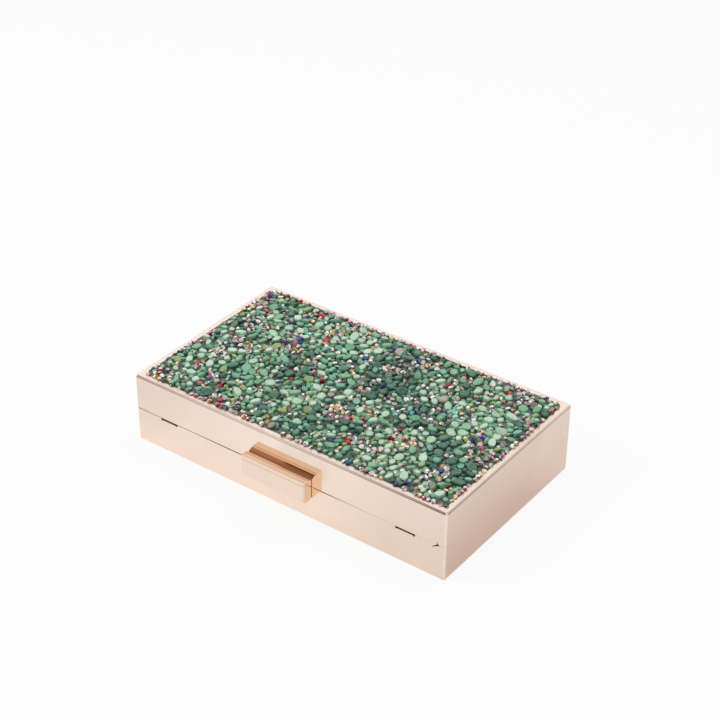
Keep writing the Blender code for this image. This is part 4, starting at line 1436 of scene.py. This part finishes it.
# Tries places at random, pass by pass, and keeps those that find room
def scatter(field, rng, passes, closeness, overhang, keep=None):
    halfLength = lidHigh.x - panelLook["inset"] + overhang
    halfWidth = lidHigh.y - panelLook["inset"] + overhang
    places = []
    for smallest, largest, tries in passes:
        for _ in range(tries):
            radius = rng.uniform(smallest, largest)
            x = rng.uniform(-1, 1) * (halfLength - radius)
            y = rng.uniform(-1, 1) * (halfWidth - radius)
            outside = nearCorner(x, y, halfLength - radius, halfWidth - radius)
            if not outside and (keep is None or keep(x, y)) and hasRoom(field, x, y, radius, closeness):
                takeRoom(field, x, y, radius)
                places.append((x, y, radius))
    return places


# A loose line of small crystals along the rim
def rimPlaces(field, rng):
    places = []
    reach = crystalLook["rimOverhang"] - panelLook["inset"]
    halfLength, halfWidth = lidHigh.x + reach, lidHigh.y + reach
    for side in (-1, 1):
        for half, along in ((halfLength, "x"), (halfWidth, "y")):
            count = int(2 * half / crystalLook["rimSpacing"])
            limit = half - panelLook["cornerRadius"]
            for step in range(count):
                radius = rng.uniform(*crystalLook["rimRadii"])
                run = -half + 2 * half * (step + rng.uniform(*crystalLook["rimRun"])) / count
                run = max(min(run, limit), -limit)
                place = [way * scale for way, scale in zip((run, side, half), crystalLook["rimWave"])]
                wave = noise.noise(Vector(place)) * 0.5 + 0.5
                if wave > crystalLook["rimShare"]:
                    continue
                if along == "x":
                    x, y = run, side * (halfWidth - radius)
                else:
                    x, y = side * (halfLength - radius), run
                if hasRoom(field, x, y, radius, crystalLook["closeness"]):
                    takeRoom(field, x, y, radius)
                    places.append((x, y, radius))
    return places


# One more stone, with a mesh of its own, in place, under the panel's top and with its own tones
def copyShape(shape, matrix, mark, values):
    mesh = shape.data.copy()
    mesh.transform(matrix)
    over = max(point.co.z for point in mesh.vertices) - panelLook["top"]
    if over > 0:
        mesh.transform(Matrix.Translation((0, 0, -over)))
    layer = mesh.attributes.new(mark, "FLOAT", "FACE")
    layer.data.foreach_set("value", values)
    stone = bpy.data.objects.new("stone", mesh)
    bpy.context.scene.collection.objects.link(stone)
    return stone


def joinStones(stones, name):
    deselectAll()
    for stone in stones:
        stone.select_set(True)
    bpy.context.view_layer.objects.active = stones[0]
    bpy.ops.object.join()
    piece = bpy.context.object
    piece.name = name
    return piece


def leaned(rng, amount):
    return Matrix.Rotation(rng.gauss(0, amount), 4, "X") @ Matrix.Rotation(rng.gauss(0, amount), 4, "Y")


def buildBed():
    reach = panelLook["inset"]
    low = Vector((lidLow.x + reach, lidLow.y + reach, panelLook["bedLow"]))
    high = Vector((-low.x, -low.y, panelLook["bedHigh"]))
    bed = addBox("resinBed", low, high)
    roundUprights(bed, panelLook["cornerRadius"])
    spacing = panelLook["cell"] / 2
    for half, way in ((high.x, (1, 0, 0)), (high.y, (0, 1, 0))):
        count = int(half / spacing)
        addRows(bed, [row * spacing for row in range(-count, count + 1)], way)
    rim = panelLook["bedRim"]

    def ruffle(point):
        inside = abs(point.x) < high.x - rim and abs(point.y) < high.y - rim
        if near(point.z, high.z) and inside:
            point.z += panelLook["bedWave"] * noise.noise(point * panelLook["bedWaveScale"])

    movePoints(bed, ruffle)
    shadeSmooth(bed, panelLook["bedSmooth"])
    finishPiece(bed, "resinBed", "lid", "stones", "stone_panel")


def waveAt(x, y, look):
    return noise.noise(Vector((x * look["scale"], y * look["scale"], look["slice"])))


# Pale and dark stones keep company: a broad noise favours one family or the other
def sharesAt(x, y, shares):
    pull = familyWave["pull"] * waveAt(x, y, familyWave)
    return {name: share * math.exp(familyLeans[name] * pull) for name, share in shares.items()}


def layPebbles(places, shapes, shares, rng, stones, sunk=False):
    for x, y, radius in places:
        narrow = rng.uniform(*pebbleLook["narrowness"])
        length = radius / math.sqrt(narrow)
        lowest, highest = pebbleLook["halfHeights"]
        high = min(max(radius * rng.uniform(*pebbleLook["flatness"]), lowest), highest)
        if sunk:
            middle = panelLook["bedHigh"] + rng.uniform(*fillLook["rise"])
        else:
            middle = panelLook["bedHigh"] + high * rng.uniform(*pebbleLook["seat"])
        turn = Matrix.Rotation(rng.uniform(0, 2 * math.pi), 4, "Z")
        size = Matrix.Diagonal((length, length * narrow, high, 1))
        place = Matrix.Translation((x, y, middle)) @ leaned(rng, pebbleLook["lean"]) @ turn @ size
        tone = min(max(rng.gauss(*pebbleLook["tone"]), 0), 1)
        shape = rng.choice(shapes)
        values = [tone] * len(shape.data.polygons)
        name = choose(rng, sharesAt(x, y, shares))
        stones[name].append(copyShape(shape, place, "stoneTone", values))


def layCrystals(places, shapes, shares, rng, stones):
    for x, y, radius in places:
        rise = rng.uniform(*crystalLook["rise"]) + radius * crystalLook["riseShare"]
        turn = Matrix.Rotation(rng.uniform(0, math.pi), 4, "Z")
        place = Matrix.Translation((x, y, panelLook["bedHigh"] + rise)) @ leaned(rng, crystalLook["lean"])
        place = place @ turn @ Matrix.Diagonal((radius, radius, radius, 1))
        shape = rng.choice(shapes)
        table = max(shape.data.polygons, key=lambda face: face.center.z).index
        tones = [rng.uniform(*crystalLook["tones"]) for _ in shape.data.polygons]
        # the table facet gets a brighter painted reflection
        tones[table] = rng.uniform(*crystalLook["tableTones"])
        stones[choose(rng, shares)].append(copyShape(shape, place, "facetTone", tones))


def buildStones():
    rng = random.Random(panelLook["seed"])
    pebbles = [modelPebble(index, rng) for index in range(pebbleLook["shapes"])]
    crystals = [modelCrystal(index, sides) for index, sides in enumerate(crystalShape["sides"])]
    print("pebble faces", [len(pebble.data.polygons) for pebble in pebbles])
    stones = {name: [] for name in [*stoneLooks, *crystalLooks]}
    field = {}

    def inCluster(x, y):
        return waveAt(x, y, clusterWave) > clusterWave["level"]

    closeness = crystalLook["closeness"]
    rim = rimPlaces(field, rng)
    layCrystals(rim, crystals, rimShares, rng, stones)
    loose = scatter(field, rng, crystalLook["loosePasses"], closeness, 0.0)
    loose += scatter(field, rng, crystalLook["clusterPasses"], closeness, 0.0, inCluster)
    layCrystals(loose, crystals, crystalShares, rng, stones)
    chips = scatter(field, rng, pebbleLook["passes"], pebbleLook["closeness"], pebbleLook["overhang"])
    layPebbles(chips, pebbles, pebbleShares, rng, stones)
    small = scatter(field, rng, crystalLook["gapPasses"], closeness, 0.0)
    layCrystals(small, crystals, crystalShares, rng, stones)
    tiny = scatter(field, rng, pebbleLook["smallPasses"], pebbleLook["closeness"], pebbleLook["overhang"])
    layPebbles(tiny, pebbles, pebbleShares, rng, stones)
    under = scatter(field, rng, fillLook["passes"], fillLook["closeness"], fillLook["overhang"])
    layPebbles(under, pebbles, fillShares, rng, stones, sunk=True)
    print("crystals", len(rim) + len(loose) + len(small), "chips", len(chips) + len(tiny) + len(under))
    for shape in pebbles + crystals:
        bpy.data.objects.remove(shape, do_unlink=True)
    for name, found in stones.items():
        piece = joinStones(found, name + "Stones")
        finishPiece(piece, name, "lid", "stones", "stone_panel")


buildBed()
buildStones()
print("stone panel ready")


# Linings

liningLook = dict(
    cuts=22,
    thick=0.0010,
    gap=0.0002,
    wallCrown=0.0003,
    padCrown=0.0005,
    edge=0.004,
    ripple=0.35,
    rippleScale=(60, 60, 90),
    smooth=50,
    windowGap=0.0003,
)


# A thin board under satin; its soft side looks along axis, to the side given
def softBoard(name, low, high, axis, side, crown, body, *nodes):
    low, high = Vector(low), Vector(high)
    board = addBox(name, low, high)
    pickFacing(board, axis, side)
    bpy.ops.mesh.subdivide(number_cuts=liningLook["cuts"])
    editOff()
    level = high[axis] if side > 0 else low[axis]
    middle, half = (low + high) / 2, (high - low) / 2

    def puff(point):
        if not near(point[axis], level):
            return
        fall = 1.0
        for other in range(3):
            if other != axis:
                inside = half[other] - abs(point[other] - middle[other])
                reach = min(1.0, inside / liningLook["edge"])
                fall *= reach * (2 - reach)
        place = [way * scale for way, scale in zip(point, liningLook["rippleScale"])]
        ripple = liningLook["ripple"] * noise.noise(Vector(place))
        point[axis] += side * crown * fall * (1 + ripple)

    movePoints(board, puff)
    shadeSmooth(board, liningLook["smooth"])
    finishPiece(board, "liningSatin", body, "lining_satin", *nodes)
    return board


def cutAnchorWindow(board, node):
    gap, over = liningLook["windowGap"], shellLook["overrun"]
    low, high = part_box(node)
    windowLow = (low.x - gap, low.y, low.z - gap)
    windowHigh = (high.x + gap, high.y + 2 * over, high.z + gap)
    cutBox(board, windowLow, windowHigh)


def buildLinings():
    thick, gap, crown = liningLook["thick"], liningLook["gap"], liningLook["wallCrown"]
    for body in ("base", "lid"):
        node = f"{body}_wall_lining"
        low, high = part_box(node)
        sideLow, sideHigh = low.y + thick + gap, high.y - thick - gap
        boards = (
            ("Front", low, (high.x, low.y + thick, high.z), 1, 1),
            ("Back", (low.x, high.y - thick, low.z), high, 1, -1),
            ("Left", (low.x, sideLow, low.z), (low.x + thick, sideHigh, high.z), 0, 1),
            ("Right", (high.x - thick, sideLow, low.z), (high.x, sideHigh, high.z), 0, -1),
        )
        for place, boardLow, boardHigh, axis, side in boards:
            board = softBoard(f"{body}Lining{place}", boardLow, boardHigh, axis, side, crown, body, node)
            if (body, place) == ("base", "Front"):
                cutAnchorWindow(board, "strap_anchor_left")
                cutAnchorWindow(board, "strap_anchor_right")
    crown = liningLook["padCrown"]
    softBoard("baseFloorPad", *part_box("base_floor_pad"), 2, 1, crown, "base", "base_floor_pad")
    softBoard("lidTopPad", *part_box("lid_pad"), 2, -1, crown, "lid", "lid_pad")


buildLinings()
print("linings ready")
